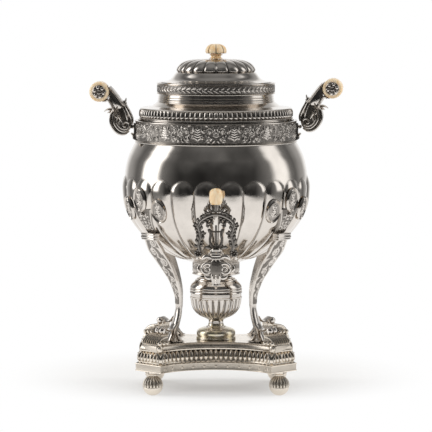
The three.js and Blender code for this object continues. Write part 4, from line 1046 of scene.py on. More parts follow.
    def feet(self, sizes):
        """Melon-shaped balls: flutes above a ring, and a smooth cap that stands on the table."""
        low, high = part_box("ball_foot_front_left")
        radius = (high.x - low.x) / 2
        centre = radius - 0.7 * MM
        arcs = [[(radius * math.cos(a), centre + radius * math.sin(a)) for a in np.radians(bend)]
                for bend in (np.linspace(-64, -15, 8), np.linspace(-7, 62, 14))]
        line = np.array([
            *in_mm([(0.3, 0), (4.2, 0)]), *arcs[0], (0.95 * radius, 10.2 * MM), (0.95 * radius, 10.8 * MM),
            *arcs[1],
            *in_mm([(5.6, 25.2), (6.4, 25.8), (6.4, 27), (4.8, 27.6)]),
            *in_mm([(4.8, -0.3), (0.3, -0.3)], 0, high.z)])
        fluted = (line[:, 1] > 11 * MM) & (line[:, 1] < 25 * MM)
        columns = sizes.foot_flutes * 6
        angle = np.arange(columns) * TURN / columns
        valley = 1 - np.abs(np.cos(angle * sizes.foot_flutes / 2)) ** 0.8
        rings = turned_rings(line, columns)
        rings[:, :, :2] *= (1 - 0.17 * fluted[:, None] * valley)[:, :, None]
        mesh = tube_mesh(rings)
        set_recess(mesh, [*(np.outer(fluted, valley**0.7)).ravel(), 0, 0])
        places = [Matrix.Translation((sum(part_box("ball_foot_" + corner), Vector()) / 2).to_2d().to_3d())
                  for corner in CORNERS]
        dressed("ball_feet", merged([mesh] * 4, places), "urn", "dulled",
                ["ball_foot_" + corner for corner in CORNERS], crease=50)


# The legs, with their widths from the collar down as shares of the leg's width
LEG_WIDTHS = [1.0, 1.2, 1.27, 1.24, 1.1, 0.9, 0.67, 0.47, 0.4, 0.4, 0.41, 0.45, 0.52]


class SAMOVAR_OT_legs(bpy.types.Operator):
    """Shapes the four legs with their collars, scroll feet and fluted corner blocks"""
    bl_idname = "samovar.legs"
    bl_label = "Legs"

    def execute(self, context):
        sizes = context.scene.samovar_sizes
        turns = [spun(turn) for turn in corner_turns().values()]
        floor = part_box("base_slab")[1].z
        foot = (sizes.scroll_radius, floor + sizes.scroll_height)
        collar = body_at(sizes.collar_height + 9 * MM)[0] + 0.3 * MM
        leg = merged([self.strap(sizes, floor, collar), *self.collar(sizes, collar),
                      *self.scroll(foot), *self.spur(sizes, floor)])
        dressed("legs", merged([leg] * 4, turns), "urn", "chased",
                ["leg_" + corner for corner in CORNERS], crease=45)
        block = merged(self.block(sizes, floor, foot))
        dressed("corner_blocks", merged([block] * 4, turns), "urn", "dulled",
                ["corner_block_" + corner for corner in CORNERS], crease=45)
        return {"FINISHED"}

    def strap(self, sizes, floor, collar):
        """The strap from the collar to the scroll foot, engraved between raised edges down to its waist."""
        top = np.array([collar + 3.6 * MM, sizes.collar_height + 2 * MM])
        waist = np.array([sizes.waist_radius, floor + sizes.waist_height])
        upper = [(1, 1), (0.88, 0.899), (0.783, 0.809), (0.592, 0.692), (0.437, 0.583), (0.301, 0.474),
                 (0.165, 0.349), (0.024, 0.151), (0, 0)]
        path = [waist + (top - waist) * share for share in upper]
        path += in_mm([(0.8, 37), (4.6, 24), (9, 13), (14.6, 2)], waist[0], floor)
        steps = 13
        line = smooth_line(path, steps)
        widths = smooth_line([(share, 0) for share in LEG_WIDTHS], steps)[:, 0] * sizes.leg_width / 2
        run = np.gradient(line, axis=0)
        run /= np.linalg.norm(run, axis=1, keepdims=True)
        out = np.column_stack([-run[:, 1], run[:, 0]])
        along = np.concatenate([[0], np.cumsum(np.linalg.norm(np.diff(line, axis=0), axis=1))])
        engraved = along[8 * steps]
        rows = []
        at, side = 5 * MM, 1
        while at < engraved - 6 * MM:
            half = np.interp(at, along, widths)
            curl_size = 0.5 * half
            rows += [curl((side * 0.22 * half, at), curl_size, 0.1 * half, -side * 1.2, side * 1.4,
                          0.1 * half),
                     rosette((side * 0.22 * half, at), 0.24 * half, 6),
                     drop((-side * 0.25 * half, at - 0.5 * half), (-side * 0.72 * half, at + 0.25 * half),
                          0.15 * half, 0.3 * side),
                     drop((-side * 0.1 * half, at + 0.2 * half), (-side * 0.55 * half, at + 0.75 * half),
                          0.13 * half, -0.3 * side)]
            at += 1.05 * half
            side = -side
        share = np.linspace(-1, 1, 33)
        across, down = share[None, :] * widths[:, None], np.repeat(along[:, None], 33, axis=1)
        inside = (np.abs(share)[None, :] < 0.8) & (down < engraved)
        shape = relief(across, down, np.vstack(rows)) * inside
        ridge = np.exp(-((np.abs(share) - 0.9) / 0.06) ** 2)[None, :] * (down < engraved)
        crown = 1.5 * MM * (1 - share**2)[None, :]
        height = 1.6 * MM + crown + 0.75 * MM * shape + 0.7 * MM * ridge
        front = line[:, None, :] + out[:, None, :] * height[..., None]
        front = np.dstack([front[..., 0], across, front[..., 1]])
        back = line[:, None, :] - out[:, None, :] * (2.2 * MM)
        back = np.dstack([back[..., 0] * np.ones(5), np.linspace(0.96, -0.96, 5)[None, :] * widths[:, None],
                          back[..., 1] * np.ones(5)])
        mesh = tube_mesh(np.concatenate([front, back], axis=1))
        dark = np.concatenate([tarnish_of(shape + 0.5 * ridge) * inside * 0.75,
                               np.full(back.shape[:2], 0.25)],
                              axis=1)
        set_recess(mesh, [*dark.ravel(), 0.3, 0.3])
        return outward(mesh)

    def collar(self, sizes, inner):
        """The moulded collar that closes a leg under the palmette."""
        low = sizes.collar_height
        bars = []
        for bottom, tall, reach, half in ((0, 2.7, 8.9, 13.6), (2.5, 2.8, 9.6, 14), (5.1, 1.6, 9.0, 13.6),
                                          (6.4, 2.7, 9.5, 13.8)):
            outline = in_mm([(-0.5, bottom), (reach, bottom), (reach, bottom + tall), (-0.5, bottom + tall)],
                            inner, low)
            bars.append(bar(rounded(outline, 0.8 * MM, 2, closed=True), half * MM, 0.7 * MM))
        return bars

    def scroll(self, foot):
        """The roll beside a leg's foot, with round ends, and the arm that it grows on."""
        arm = smooth_line(in_mm([(-22.4, 7), (-17, 0.8), (-11, -0.6), (-5, 2.2), (-1, 4.2)], *foot), 5)
        parts = [limb(arm, 1.5 * MM, 6.4 * MM, 12)]
        roll = smooth_line([(-8, 0.2), (-7.8, 2.6), (-6.4, 4.4), (-4, 4.9), (-1.6, 3.8), (0, 3.4), (1.6, 3.8),
                            (4, 4.9), (6.4, 4.4), (7.8, 2.6), (8, 0.2)], 4)
        shape = tube_mesh(turned_rings([(out * MM, along * MM) for along, out in roll], 28))
        marks = [0.7 if abs(v.co.z) < 1.5 * MM else 0 for v in shape.vertices]
        set_recess(shape, marks)
        shape.transform(Matrix.Translation((foot[0], 0, foot[1])) @ Matrix.Rotation(TURN / 4, 4, "X"))
        parts.append(outward(shape))
        return parts

    def spur(self, sizes, floor):
        """The leaf behind a leg's foot, towards the lamp."""
        place = sizes.waist_radius
        spine = smooth_line(in_mm([(5.8, 13), (3.6, 8), (0.4, 4), (-5.2, 1.6)], place, floor), 6)
        share = np.linspace(0, 1, len(spine))
        thick = MM * np.interp(share, [0, 0.5, 0.8, 1], [1.0, 2.6, 2.4, 0.7])
        sill = in_mm([(-5.6, 1.1), (16, 1.1)], place, floor)
        return [limb(spine, thick, 4.6 * MM * (1 - 0.45 * share), 10), limb(sill, 1.0 * MM, 5.4 * MM, 8)]

    def block(self, sizes, floor, foot):
        """A quarter-round of ribs under a step, above the slab's flat corner face, with balls along its
        sides and a small rosette at each end of the face."""
        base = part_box("base_slab")[0].z
        low = floor + 0.2 * MM
        top = foot[1] - 5.4 * MM
        outer = foot[0] + sizes.block_reach
        inner = outer - sizes.block_length
        tall = top - low
        half = sizes.block_width / 2
        reach = sizes.block_length - 2.2 * MM
        arc = np.radians(np.linspace(-4, 90, 13))
        core = [(inner + 1 * MM, low), *[(inner + (reach - 1.4 * MM) * math.cos(a),
                                          low + (tall - 2.6 * MM) * max(math.sin(a), 0))
                                         for a in arc]]
        body = bar(core, half - 0.5 * MM, 0.3 * MM)
        set_recess(body, np.full(len(body.vertices), 0.8))
        parts = [body]
        ribs = 8
        pitch = sizes.block_width / ribs
        line = [(inner + reach * math.cos(a), low + 0.6 * MM + (tall - 1.4 * MM) * math.sin(a)) for a in arc]
        for at in range(ribs):
            middle = (at - (ribs - 1) / 2) * pitch
            rib = limb(line, 2.6 * MM, 0.38 * pitch, 12, middle)
            set_recess(rib, [np.clip(abs(v.co.y - middle) / pitch * 3.4 - 1.05, 0, 1) for v in rib.vertices])
            parts.append(rib)
        edge = inner + 0.3 * sizes.block_length
        step = [(inner - 1 * MM, top - 1.4 * MM), (edge, top - 1.4 * MM), (edge, top), (inner - 1 * MM, top)]
        parts.append(bar(rounded(step, 0.4 * MM, 2, closed=True), half - 4 * MM, 0.5 * MM))
        face = [(outer - 6 * MM, base + 0.5 * MM), (outer + 1.0 * MM, base + 0.5 * MM),
                (outer + 1.0 * MM, floor - 0.6 * MM),
                (outer - 6 * MM, floor - 0.6 * MM)]
        flat = bar(rounded(face, 0.3 * MM, 2, closed=True), half - 1.5 * MM, 0.4 * MM)
        set_recess(flat, np.full(len(flat.vertices), 0.3))
        parts.append(flat)
        turns = np.arange(20) * TURN / 20
        for side in (-1, 1):
            eye = (outer - 3.6 * MM, base + 4.9 * MM)
            disc = [(eye[0] + 4.3 * MM * math.cos(a), eye[1] + 4.3 * MM * math.sin(a)) for a in turns]
            parts.append(bar(disc, 1.5 * MM, 0.7 * MM, side * (half - 0.2 * MM)))
            parts.append(ball(*eye, 1.6 * MM, 14, side * (half + 1.4 * MM), tip=0.08))
            for x, z, size, aside in ((3, 2.6, 3.0, 0.2), (9, 2.8, 2.9, 0.6), (14.4, 2.8, 2.7, 0.6)):
                parts.append(ball(outer - x * MM, low + z * MM, size * MM, 14, side * (half + aside * MM),
                                  tip=0.08))
        return parts


# Leaves of half a medallion and of half its leafy plate, as drops
MEDALLION_LEAVES = ((0.1, -0.6, 0.5, 0.05, 0.8, 0.3), (0.3, 0.1, 0.4, 0.55, 0.8, 0.25))
PLATE_LEAVES = ((3, 0.04, 6.6, 0.3, 0.9, 0.2),)


class SAMOVAR_OT_palmettes(bpy.types.Operator):
    """Sets three chased medallions on a leafy plate between each leg and the body"""
    bl_idname = "samovar.palmettes"
    bl_label = "Palmettes"

    def execute(self, context):
        sizes = context.scene.samovar_sizes
        middle = sizes.collar_height + 53 * MM
        lobe = TURN / sizes.body_lobes
        low = sizes.collar_height + 9.3 * MM
        places = [spun(side * lobe) @ self.seat(middle - abs(side) * 13 * MM) for side in (0, -1, 1)]
        bead = self.seat(middle - 0.56 * sizes.medallion_height) @ Matrix.Translation((2 * MM, 0, 0))
        whole = merged([*[self.medallion(sizes)] * 3,
                        self.leafage(low, middle - 0.36 * sizes.medallion_height), ball(0, 0, 2.6 * MM, 14)],
                       [*places, Matrix.Identity(4), bead])
        turns = [spun(turn) for turn in corner_turns().values()]
        dressed("palmettes", merged([whole] * 4, turns), "urn", "chased",
                ["palmette_" + corner for corner in CORNERS], crease=50)
        return {"FINISHED"}

    def seat(self, height):
        """From a plane whose X points away from the body to a place on it."""
        radius, slope = body_at(height)
        lean = Matrix.Rotation(math.atan(slope), 4, "Y")
        return Matrix.Translation((radius + 1.2 * MM, 0, height)) @ lean

    def medallion(self, sizes):
        """An oval boss with a double raised border round a leaf and scrolls."""
        half = np.array([sizes.medallion_width, sizes.medallion_height]) / 2
        rings, columns = 26, 64
        rho = np.linspace(0.04, 1, rings)
        angle = np.arange(columns) * TURN / columns
        x = np.outer(rho, np.cos(angle)) * half[0]
        y = np.outer(rho, np.sin(angle)) * half[1]
        rows = [acanthus((0, -0.62 * half[1]), (0, 0.7 * half[1]), 0.5 * half[0])]
        for side in (-1, 1):
            rows += [curl((side * 0.42 * half[0], -0.3 * half[1]), 0.2 * half[0], 0.04 * half[0], 1.6,
                          side * 1.3, 0.6 * MM),
                     *drops(MEDALLION_LEAVES, side, *half)]
        rows += [rosette((0, 0.05 * half[1]), 0.2 * half[0], 6)]
        field = relief(x, y, np.vstack(rows)) * (rho < 0.74)[:, None]
        border = np.exp(-((rho - 0.93) / 0.06) ** 2) + np.exp(-((rho - 0.77) / 0.035) ** 2) * 0.6
        dome = 2.2 * MM * (1 - rho**2) ** 0.5
        out = dome[:, None] + 1.1 * MM * field + (1.9 * MM * border)[:, None]
        out[-1] = 0
        front = np.dstack([out, x, y])
        mesh = tube_mesh(front[::-1])
        dark = np.where((rho < 0.76)[:, None], tarnish_of(field), 0.5 * (1 - np.minimum(border, 1))[:, None])
        set_recess(mesh, [*(dark[::-1] ** 1.5 * 0.55).ravel(), 0.2, 0])
        return outward(mesh)

    def leafage(self, low, high):
        """The leafy plate that spreads from the collar to the medallions, close to the body."""
        tall = high - low
        heights = np.linspace(low, high, 34)
        half = np.interp(heights, [low, low + 0.3 * tall, high], [8.5 * MM, 10.5 * MM, 19 * MM])
        share = np.linspace(-1, 1, 61)
        rows = [acanthus((0, 0.02 * tall), (0, 0.94 * tall), 5.5 * MM)]
        for side in (-1, 1):
            rows += [acanthus((side * 4 * MM, 0.02 * tall), (side * 11 * MM, 0.92 * tall), 4.2 * MM),
                     curl((side * 6.2 * MM, 0.7 * tall), 2.4 * MM, 0.6 * MM, 1.57, side * 1.3, 0.7 * MM),
                     *drops(PLATE_LEAVES, side, MM, tall)]
        across = share[None, :] * half[:, None]
        rise = np.repeat(heights[:, None] - low, len(share), axis=1)
        shape = relief(across, rise, np.vstack(rows))
        edge = np.exp(-((np.abs(share) - 0.93) / 0.05) ** 2)[None, :] * np.ones_like(shape)
        inner = np.array([body_at(height)[0] for height in heights])[:, None]
        faces = []
        for radius, order in ((inner + 2.0 * MM + 1.1 * MM * shape + 0.9 * MM * edge, 1),
                              (inner - 3 * MM + 0 * shape, -1)):
            angle = across / radius
            face = np.dstack([radius * np.cos(angle), radius * np.sin(angle), rise + low])
            faces.append(face[:, ::order])
        mesh = tube_mesh(np.concatenate(faces, axis=1))
        dark = np.concatenate([tarnish_of(shape + edge) * 0.75, 0.5 + 0 * shape], axis=1)
        set_recess(mesh, [*dark.ravel(), 0.5, 0.5])
        return outward(mesh)


class SAMOVAR_OT_lamp(bpy.types.Operator):
    """Turns the spirit lamp with its fluted vase, and the wind collar above it"""
    bl_idname = "samovar.lamp"
    bl_label = "Spirit lamp"

    def execute(self, context):
        sizes = context.scene.samovar_sizes
        self.foot()
        self.bowl(sizes)
        self.shoulder()
        self.wind_collar()
        return {"FINISHED"}

    def foot(self):
        """A ringed foot that swells under the vase's stem."""
        low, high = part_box("lamp_foot")
        line = in_shares(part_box("lamp_foot"), [
            (1, 0), (1, 0.05), (0.985, 0.07), (1, 0.09), (1, 0.13), (0.95, 0.16), (0.965, 0.2), (0.985, 0.3),
            (0.985, 0.42), (0.95, 0.53), (0.87, 0.62), (0.74, 0.69), (0.6, 0.745), (0.5, 0.78), (0.5, 0.82),
            (0.42, 0.84), (0.4, 0.9), (0.385, 1)])
        mesh = tube_mesh(turned_rings(rounded([(0.3 * MM, low.z), *line, (0.3 * MM, high.z)], 0.4 * MM, 3),
                                      96))
        dressed("lamp_foot_turned", mesh, "lamp", "gilt", ["lamp_foot"], crease=30)

    def bowl(self, sizes):
        """The vase: flutes that open towards a plain band under a moulding."""
        low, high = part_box("lamp_bowl")
        wide, tall = high.x, high.z - low.z
        outline = smooth_line([(0.287, 0), (0.29, 0.07), (0.34, 0.12), (0.46, 0.17), (0.635, 0.235),
                               (0.807, 0.345),
                               (0.905, 0.47), (0.955, 0.6), (0.975, 0.7), (0.98, 0.76)], 6)
        upper = [(0.98, 0.775), (1, 0.785), (1, 0.82), (0.975, 0.835), (0.975, 0.93), (1, 0.94), (1, 0.985),
                 (0.98, 1)]
        line = in_shares(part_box("lamp_bowl"), (*outline, *upper))
        inner = [(out - 3.2 * MM, up) for out, up in line[::-3] if up > low.z + 0.2 * tall]
        whole = np.array([(0.3 * MM, low.z), *line, *inner, (0.3 * MM, low.z + 0.2 * tall)])
        columns = sizes.lamp_flutes * 10
        angle = np.arange(columns) * TURN / columns
        up = (whole[:, 1] - low.z) / tall
        on = np.clip((up - 0.1) / 0.08, 0, 1) * np.clip((0.77 - up) / 0.05, 0, 1)
        on[len(line) + 1:] = 0
        rib = np.abs(np.cos(angle * sizes.lamp_flutes / 2)) ** 0.6
        rings = turned_rings(whole, columns)
        depth = 2.6 * MM * np.outer(on * whole[:, 0] / wide, 1 - rib)
        scale = 1 - depth / np.maximum(whole[:, 0], MM)[:, None]
        rings[:, :, :2] *= scale[:, :, None]
        mesh = tube_mesh(rings)
        band = (up > 0.84) & (up < 0.925) & (whole[:, 0] > 0.95 * wide)
        marks = np.outer(on, (1 - rib) ** 0.9) + 0.9 * band[:, None]
        set_recess(mesh, [*np.clip(marks, 0, 1).ravel(), 0, 0])
        dressed("lamp_vase", mesh, "lamp", "silver", ["lamp_bowl"], crease=50)

    def shoulder(self):
        """The ring that closes the vase, with a moulding round its mouth."""
        line = in_shares(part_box("lamp_shoulder"), [
            (0.99, 0), (1, 0.03), (1, 0.13), (0.97, 0.18), (0.99, 0.2), (0.985, 0.3), (0.95, 0.44),
            (0.9, 0.57),
            (0.83, 0.7), (0.8, 0.76), (0.8, 0.82), (0.74, 0.86), (0.74, 0.93), (0.68, 0.96), (0.66, 1)])
        inner = [(out - 1.7 * MM, up) for out, up in line[::-2]]
        whole = np.vstack([rounded(line, 0.4 * MM, 2), inner])
        mesh = tube_mesh(turned_rings(whole, 112), closed=True)
        dressed("lamp_shoulder_turned", outward(mesh), "lamp", "silver", ["lamp_shoulder"],
                crease=30)

    def wind_collar(self):
        """The guard round the flame, reeded between two rings."""
        low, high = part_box("wind_collar")
        wide, tall = high.x, high.z - low.z
        line = in_shares(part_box("wind_collar"), [
            (0.7, 0), (0.9, 0.05), (0.99, 0.08), (1, 0.12), (1, 0.2), (0.96, 0.22), (0.96, 0.26),
            (0.985, 0.3),
            (0.985, 0.92), (0.96, 0.95), (1, 0.97), (1, 1)])
        inner = [(out - SHEET, up) for out, up in line[::-1]]
        whole = np.vstack([rounded(line, 0.5 * MM, 2), inner])
        reeds, columns = 56, 336
        reeded = (whole[:, 1] > low.z + 0.29 * tall) & (whole[:, 1] < low.z + 0.93 * tall)
        reeded &= whole[:, 0] > 0.975 * wide
        valley = 1 - np.abs(np.sin(np.arange(columns) * TURN / columns * reeds / 2)) ** 0.8
        rings = turned_rings(whole, columns)
        rings[:, :, :2] *= (1 - 0.035 * np.outer(reeded, valley))[:, :, None]
        mesh = tube_mesh(rings, closed=True)
        set_recess(mesh, np.outer(reeded, valley) * 0.9)
        dressed("wind_collar_turned", outward(mesh), "urn", "chased", ["wind_collar"], crease=30)


# The handles. Points are (inwards, down) from the roll's axis, in millimetres.
SCROLL_FIELD = ((22, 14), (33, 15), (38.5, 26), (42, 37), (40.6, 48), (33, 54.6), (24.6, 53.4), (17.6, 46.2),
                (15, 38), (15.8, 29.5), (19, 22))
SCROLL_SPURS = (((29, 14.5), (32.4, 14.2), (34.2, 11.8), (34.8, 8.4)),
                ((20.4, 26), (14, 23.4), (10.4, 23.6), (6, 26.2)),
                ((30.5, 20), (33.8, 17.5), (35.6, 14.4)), ((17.5, 30), (13.8, 27.2), (10.2, 28)))
SCROLL_LEAVES = ((25.2, 17, 29.5, 40, 2.0, 0.12), (28.5, 18, 36.5, 38, 1.7, -0.1),
                 (23.4, 25, 24.4, 36, 1.6, 0.25), (31.5, 17, 38.6, 33, 1.1, -0.1),
                 (26, 44, 30.5, 35.5, 1.3, -0.3))


def scroll_line(*points, steps=6):
    """A smooth line through points of the handle's scroll."""
    return smooth_line(in_mm(-np.array(points)), steps)


def swell(line, most, least):
    """Half widths in millimetres along a line, widest at its middle."""
    return most * MM * (least + (1 - least) * np.sin(np.linspace(0.1, math.pi - 0.1, len(line))))


class SAMOVAR_OT_handles(bpy.types.Operator):
    """Shapes both handles: ivory rolls with rosette caps on scrolls of acanthus"""
    bl_idname = "samovar.handles"
    bl_label = "Handles"

    def execute(self, context):
        for side, turn in zip(SIDES, (math.pi, RIGHT_HANDLE_TURN)):
            low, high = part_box("handle_roll_" + side)
            place = Matrix.Translation((low + high) / 2) @ spun(turn)
            self.scroll(side, place)
            self.bracket(side)
            self.caps(side, place)
            self.roll(side, place)
        return {"FINISHED"}

    def scroll(self, side, place):
        """The strap from the roll and the leafy volute it grows out of."""
        line = scroll_line
        upper = line((13.2, -6.0), (17.5, -1.5), (22.4, 4.6), (29.0, 13.4), (33.6, 18))
        lower = line((6.6, 12.6), (10.4, 11.0), (13.2, 13.8), (19.0, 23.6), (20.4, 29))
        web = in_mm([(-13, 4.5), (-22, -5.5), (-31, -17), (-28, -22), (-21, -22), (-12.5, -12.5)])
        cradle = [(-13.9 * MM * math.cos(a), -13.9 * MM * math.sin(a))
                  for a in np.radians(np.linspace(-38, 72, 16))]
        parts = [limb(upper, 1.3 * MM, 13.8 * MM, 12), limb(lower, 1.3 * MM, 13.8 * MM, 12),
                 bar(web, 9 * MM, 0.6 * MM), limb(cradle, 0.55 * MM, 14.2 * MM, 12)]
        plate = bar(line(*SCROLL_FIELD, steps=3)[:-1], 7.4 * MM, 1.2 * MM)
        set_recess(plate, np.full(len(plate.vertices), 0.85))
        right = line((32.4, 11.5), (34.6, 19), (39.2, 28), (42.6, 36.4), (42.2, 42.6))
        left = line((18.2, 23), (15.0, 30), (14.3, 38), (17.2, 46.9), (24.2, 54.2), (32.3, 55.6),
                    (38.8, 51.6))
        second = line((23.6, 19.5), (19.6, 28), (18.6, 35.8), (20.9, 44), (27.2, 50.8), (34.3, 51.9),
                      (40.2, 47.6))
        third = line((24.8, 30.8), (22.6, 39), (26.4, 46.4), (33.1, 49.2), (38.6, 46.2), (38.6, 41.4),
                     (34.6, 39.6),
                     (31.2, 42.2), (31.6, 45.6), (34.4, 46.0))
        parts += [limb(right, swell(right, 1.9, 0.6), swell(right, 9.6, 0.8), 10),
                  limb(left, swell(left, 1.7, 0.6), swell(left, 9.8, 0.75), 10),
                  limb(second, swell(second, 1.45, 0.6), swell(second, 9.6, 0.85), 10),
                  limb(third, 1.15 * MM, 9.6 * MM, 10)]
        eye = (-33.4 * MM, -43.6 * MM)
        parts.append(limb([(eye[0] - 1.6 * MM, eye[1]), eye, (eye[0] + 1.6 * MM, eye[1])],
                          [0.5 * MM, 1.7 * MM, 0.5 * MM], [9 * MM, 9.8 * MM, 9 * MM], 12))
        for flip in (-1, 1):
            parts += [limb(left, swell(left, 1.7, 0.6), 1.5 * MM, 8, flip * 8.6 * MM),
                      limb(second, swell(second, 1.7, 0.6), 1.6 * MM, 8, flip * 8.7 * MM),
                      limb(third, swell(third, 1.6, 0.7), 1.5 * MM, 8, flip * 8.6 * MM),
                      limb(right, swell(right, 2.0, 0.6), 1.6 * MM, 8, flip * 8.4 * MM),
                      limb(upper, 1.6 * MM, 1.4 * MM, 8, flip * 9.4 * MM),
                      limb(lower, 1.5 * MM, 1.4 * MM, 8, flip * 9.4 * MM)]
        for points in SCROLL_SPURS:
            spur = line(*points)
            share = np.linspace(0, 1, len(spur))
            parts.append(limb(spur, (3.0 - 2.3 * share) * MM, (8.4 - 5.4 * share) * MM, 10))
        for flip in (-1, 1):
            for row in drops(SCROLL_LEAVES, 1, -MM, -MM):
                parts.append(limb(row[:, :2], row[:, 2], row[:, 2] * 0.7, 8, flip * 7.8 * MM))
            volute = curl((-25.4 * MM, -33 * MM), 3.0 * MM, 0.5 * MM, 1.2, 1.4, 0.8 * MM, 26)
            parts.append(limb(volute[:, :2], volute[:, 2], volute[:, 2], 6, flip * 7.7 * MM))
        whole = merged([plate, *parts])
        whole.transform(place)
        dressed("handle_scroll_chased_" + side, whole, "urn", "cast", ["handle_scroll_" + side],
                crease=50)

    def bracket(self, side):
        """The curved plate on the band, with an arm above and a leaf below."""
        low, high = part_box("handle_bracket_" + side)
        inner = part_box("body_band")[1].x
        reach = max(abs(low.x), abs(high.x))
        angles = np.linspace(-0.125, 0.125, 13)
        rings = []
        for height, out in ((low.z + 1 * MM, 1.0), (low.z + 1.6 * MM, 1.6), (high.z - 1.6 * MM, 1.6),
                            (high.z - 1 * MM, 1.0)):
            outer = [((inner + out * MM) * math.cos(a), (inner + 1.6 * MM) * math.sin(a),
                      height) for a in angles]
            back = [((inner - 3 * MM) * math.cos(a), inner * math.sin(a), height) for a in angles[::-1]]
            rings.append(outer + back)
        parts = [outward(tube_mesh(np.array(rings)))]
        middle = (low.z + high.z) / 2
        arm = smooth_line([(inner, middle + 5.5 * MM), (inner + 3 * MM, middle + 5.9 * MM),
                           (reach, middle + 4 * MM)], 6)
        leaf = smooth_line([(inner + 0.6 * MM, low.z + 1.5 * MM), (inner + 1.6 * MM, middle - 6 * MM),
                            (reach - 0.4 * MM, middle - 3 * MM)], 6)
        parts += [limb(arm, 2.3 * MM, 8.5 * MM, 10), limb(leaf, 1.5 * MM, 8 * MM, 10)]
        for aside in (-5.5 * MM, 0, 5.5 * MM):
            parts.append(limb(leaf + [0.8 * MM, 0], 1.0 * MM, 1.8 * MM, 8, aside))
        whole = merged(parts)
        whole.transform(spun(0 if side == "right" else math.pi))
        dressed("handle_bracket_chased_" + side, whole, "urn", "cast", ["handle_bracket_" + side])

    def caps(self, side, place):
        """Rosettes on both ends of the roll: six round petals about a sunk eye."""
        parts, petals = [], 6
        disc = rounded(in_mm([(0.2, -2.2), (8.9, -2.2), (8.9, -0.4), (7.6, 0.3), (3.2, 0.3), (3, 1.7),
                              (2, 1.9),
                              (1.2, 0.6), (0.2, 0.6)]), 0.3 * MM, 2)
        for end in (-1, 1):
            face = end * 18.0 * MM
            for at in range(petals):
                angle = TURN * (at + 0.25) / petals
                parts.append(ball(5.9 * MM * math.cos(angle), 5.9 * MM * math.sin(angle), 2.7 * MM, 16, face,
                                  2.4 / 2.7, 0.06))
            shape = tube_mesh(turned_rings(disc, 40))
            set_recess(shape, [0.9 if 0 < v.co.z < 0.8 * MM and v.co.xy.length < 8 * MM else 0.0
                               for v in shape.vertices])
            shape.transform(Matrix.Translation((0, face, 0)) @ Matrix.Rotation(-end * TURN / 4, 4, "X"))
            parts.append(outward(shape))
        whole = merged(parts)
        whole.transform(place)
        dressed("roll_caps_" + side, whole, "urn", "cast",
                ["roll_cap_front_" + side, "roll_cap_back_" + side, "roll_pin_" + side], crease=60)

    def roll(self, side, place):
        """The ivory grip, turned with a soft swell and a ring near each end."""
        half, wide = 15.5 * MM, 12.95 * MM
        line = [(2.6 * MM, -half), *in_mm([(-1.4, 0), (-0.3, 1), (0, 2.2), (-0.1, 3.6), (-0.7, 4),
                                           (-0.1, 4.4)],
                                          wide, -half), (wide, 0)]
        line += [(out, -along) for out, along in line[-2::-1]]
        shape = tube_mesh(turned_rings(rounded(line, 0.4 * MM, 3), 64))
        shape.transform(Matrix.Rotation(TURN / 4, 4, "X"))
        set_recess(shape,
                   [0.8 if abs(abs(v.co.y) - half + 4.0 * MM) < 0.3 * MM else 0 for v in shape.vertices])
        shape.transform(place)
        dressed("handle_roll_turned_" + side, outward(shape), "urn", "ivory",
                ["handle_roll_" + side])


# The tap's ornament in millimetres: leaves as drops, above the pipe's axis or the wreath's base, and curls as
# (x, z, outer, inner, start, turns, half width, points)
TAP_LEAVES = (
    (4.5, 10.5, 18.5, 9, 2.9, 0.28), (3.5, -12.5, 14.5, -10.5, 2.4, -0.2), (3.6, 8, 5.2, -8, 2, 0.2),
    (11.2, -2.6, 13.2, -2.5, 2.6, 0), (19.5, 4, 19.2, -7, 1.8, 0.3), (2.2, 13, 8.5, 4.5, 1.9, -0.2),
    (1.4, -3, 4.6, -17, 1.7, 0.12))
TAP_BUD = ((0, 12.5, 0, -7, 1.5, 0), *((0, -at, 0, -at - 3.4, 1.5, 0) for at in (8, 11.4, 14.8, 18)))
WREATH_STEM = ((20.5, 3.5), (22, 12), (20, 20), (20.4, 28), (22.6, 36), (19.5, 41.5), (12.5, 46), (5.5, 48.6),
               (0, 49.2))
WREATH_LEAVES = (
    (22, 34, 26, 33.4, 1.2, 0.2), (19.8, 24, 15.6, 23.8, 1.2, 0.2), (5.5, 49, 17.5, 50.5, 1.9, -0.25),
    (4.5, 51, 14.5, 55.5, 1.9, -0.25), (2.5, 53, 9.5, 60, 1.9, -0.25), (1, 52, 3.6, 61.5, 1.5, -0.2),
    (9.5, 40.5, 10.6, 40, 1.7, 0), (3.6, 46, 3.2, 36.5, 1.4, 0.2), (14, 42, 12.5, 33.5, 1.5, -0.25),
    (6, 36, 10.5, 32, 1.3, 0.25), (3, 2.4, 15.5, 7.4, 2.2, 0.18), (2, 6.6, 9.5, 10.2, 1.7, 0.2))
WREATH_CURLS = (
    (26.2, 35.4, 2.2, 0.5, -1.2, -1.2, 1.1, 20), (15.2, 26, 2.2, 0.5, 1.2, 1.1, 1.1, 20),
    (9.5, 40.5, 4.3, 0.8, -1.2, 1.35, 1.3, 30))


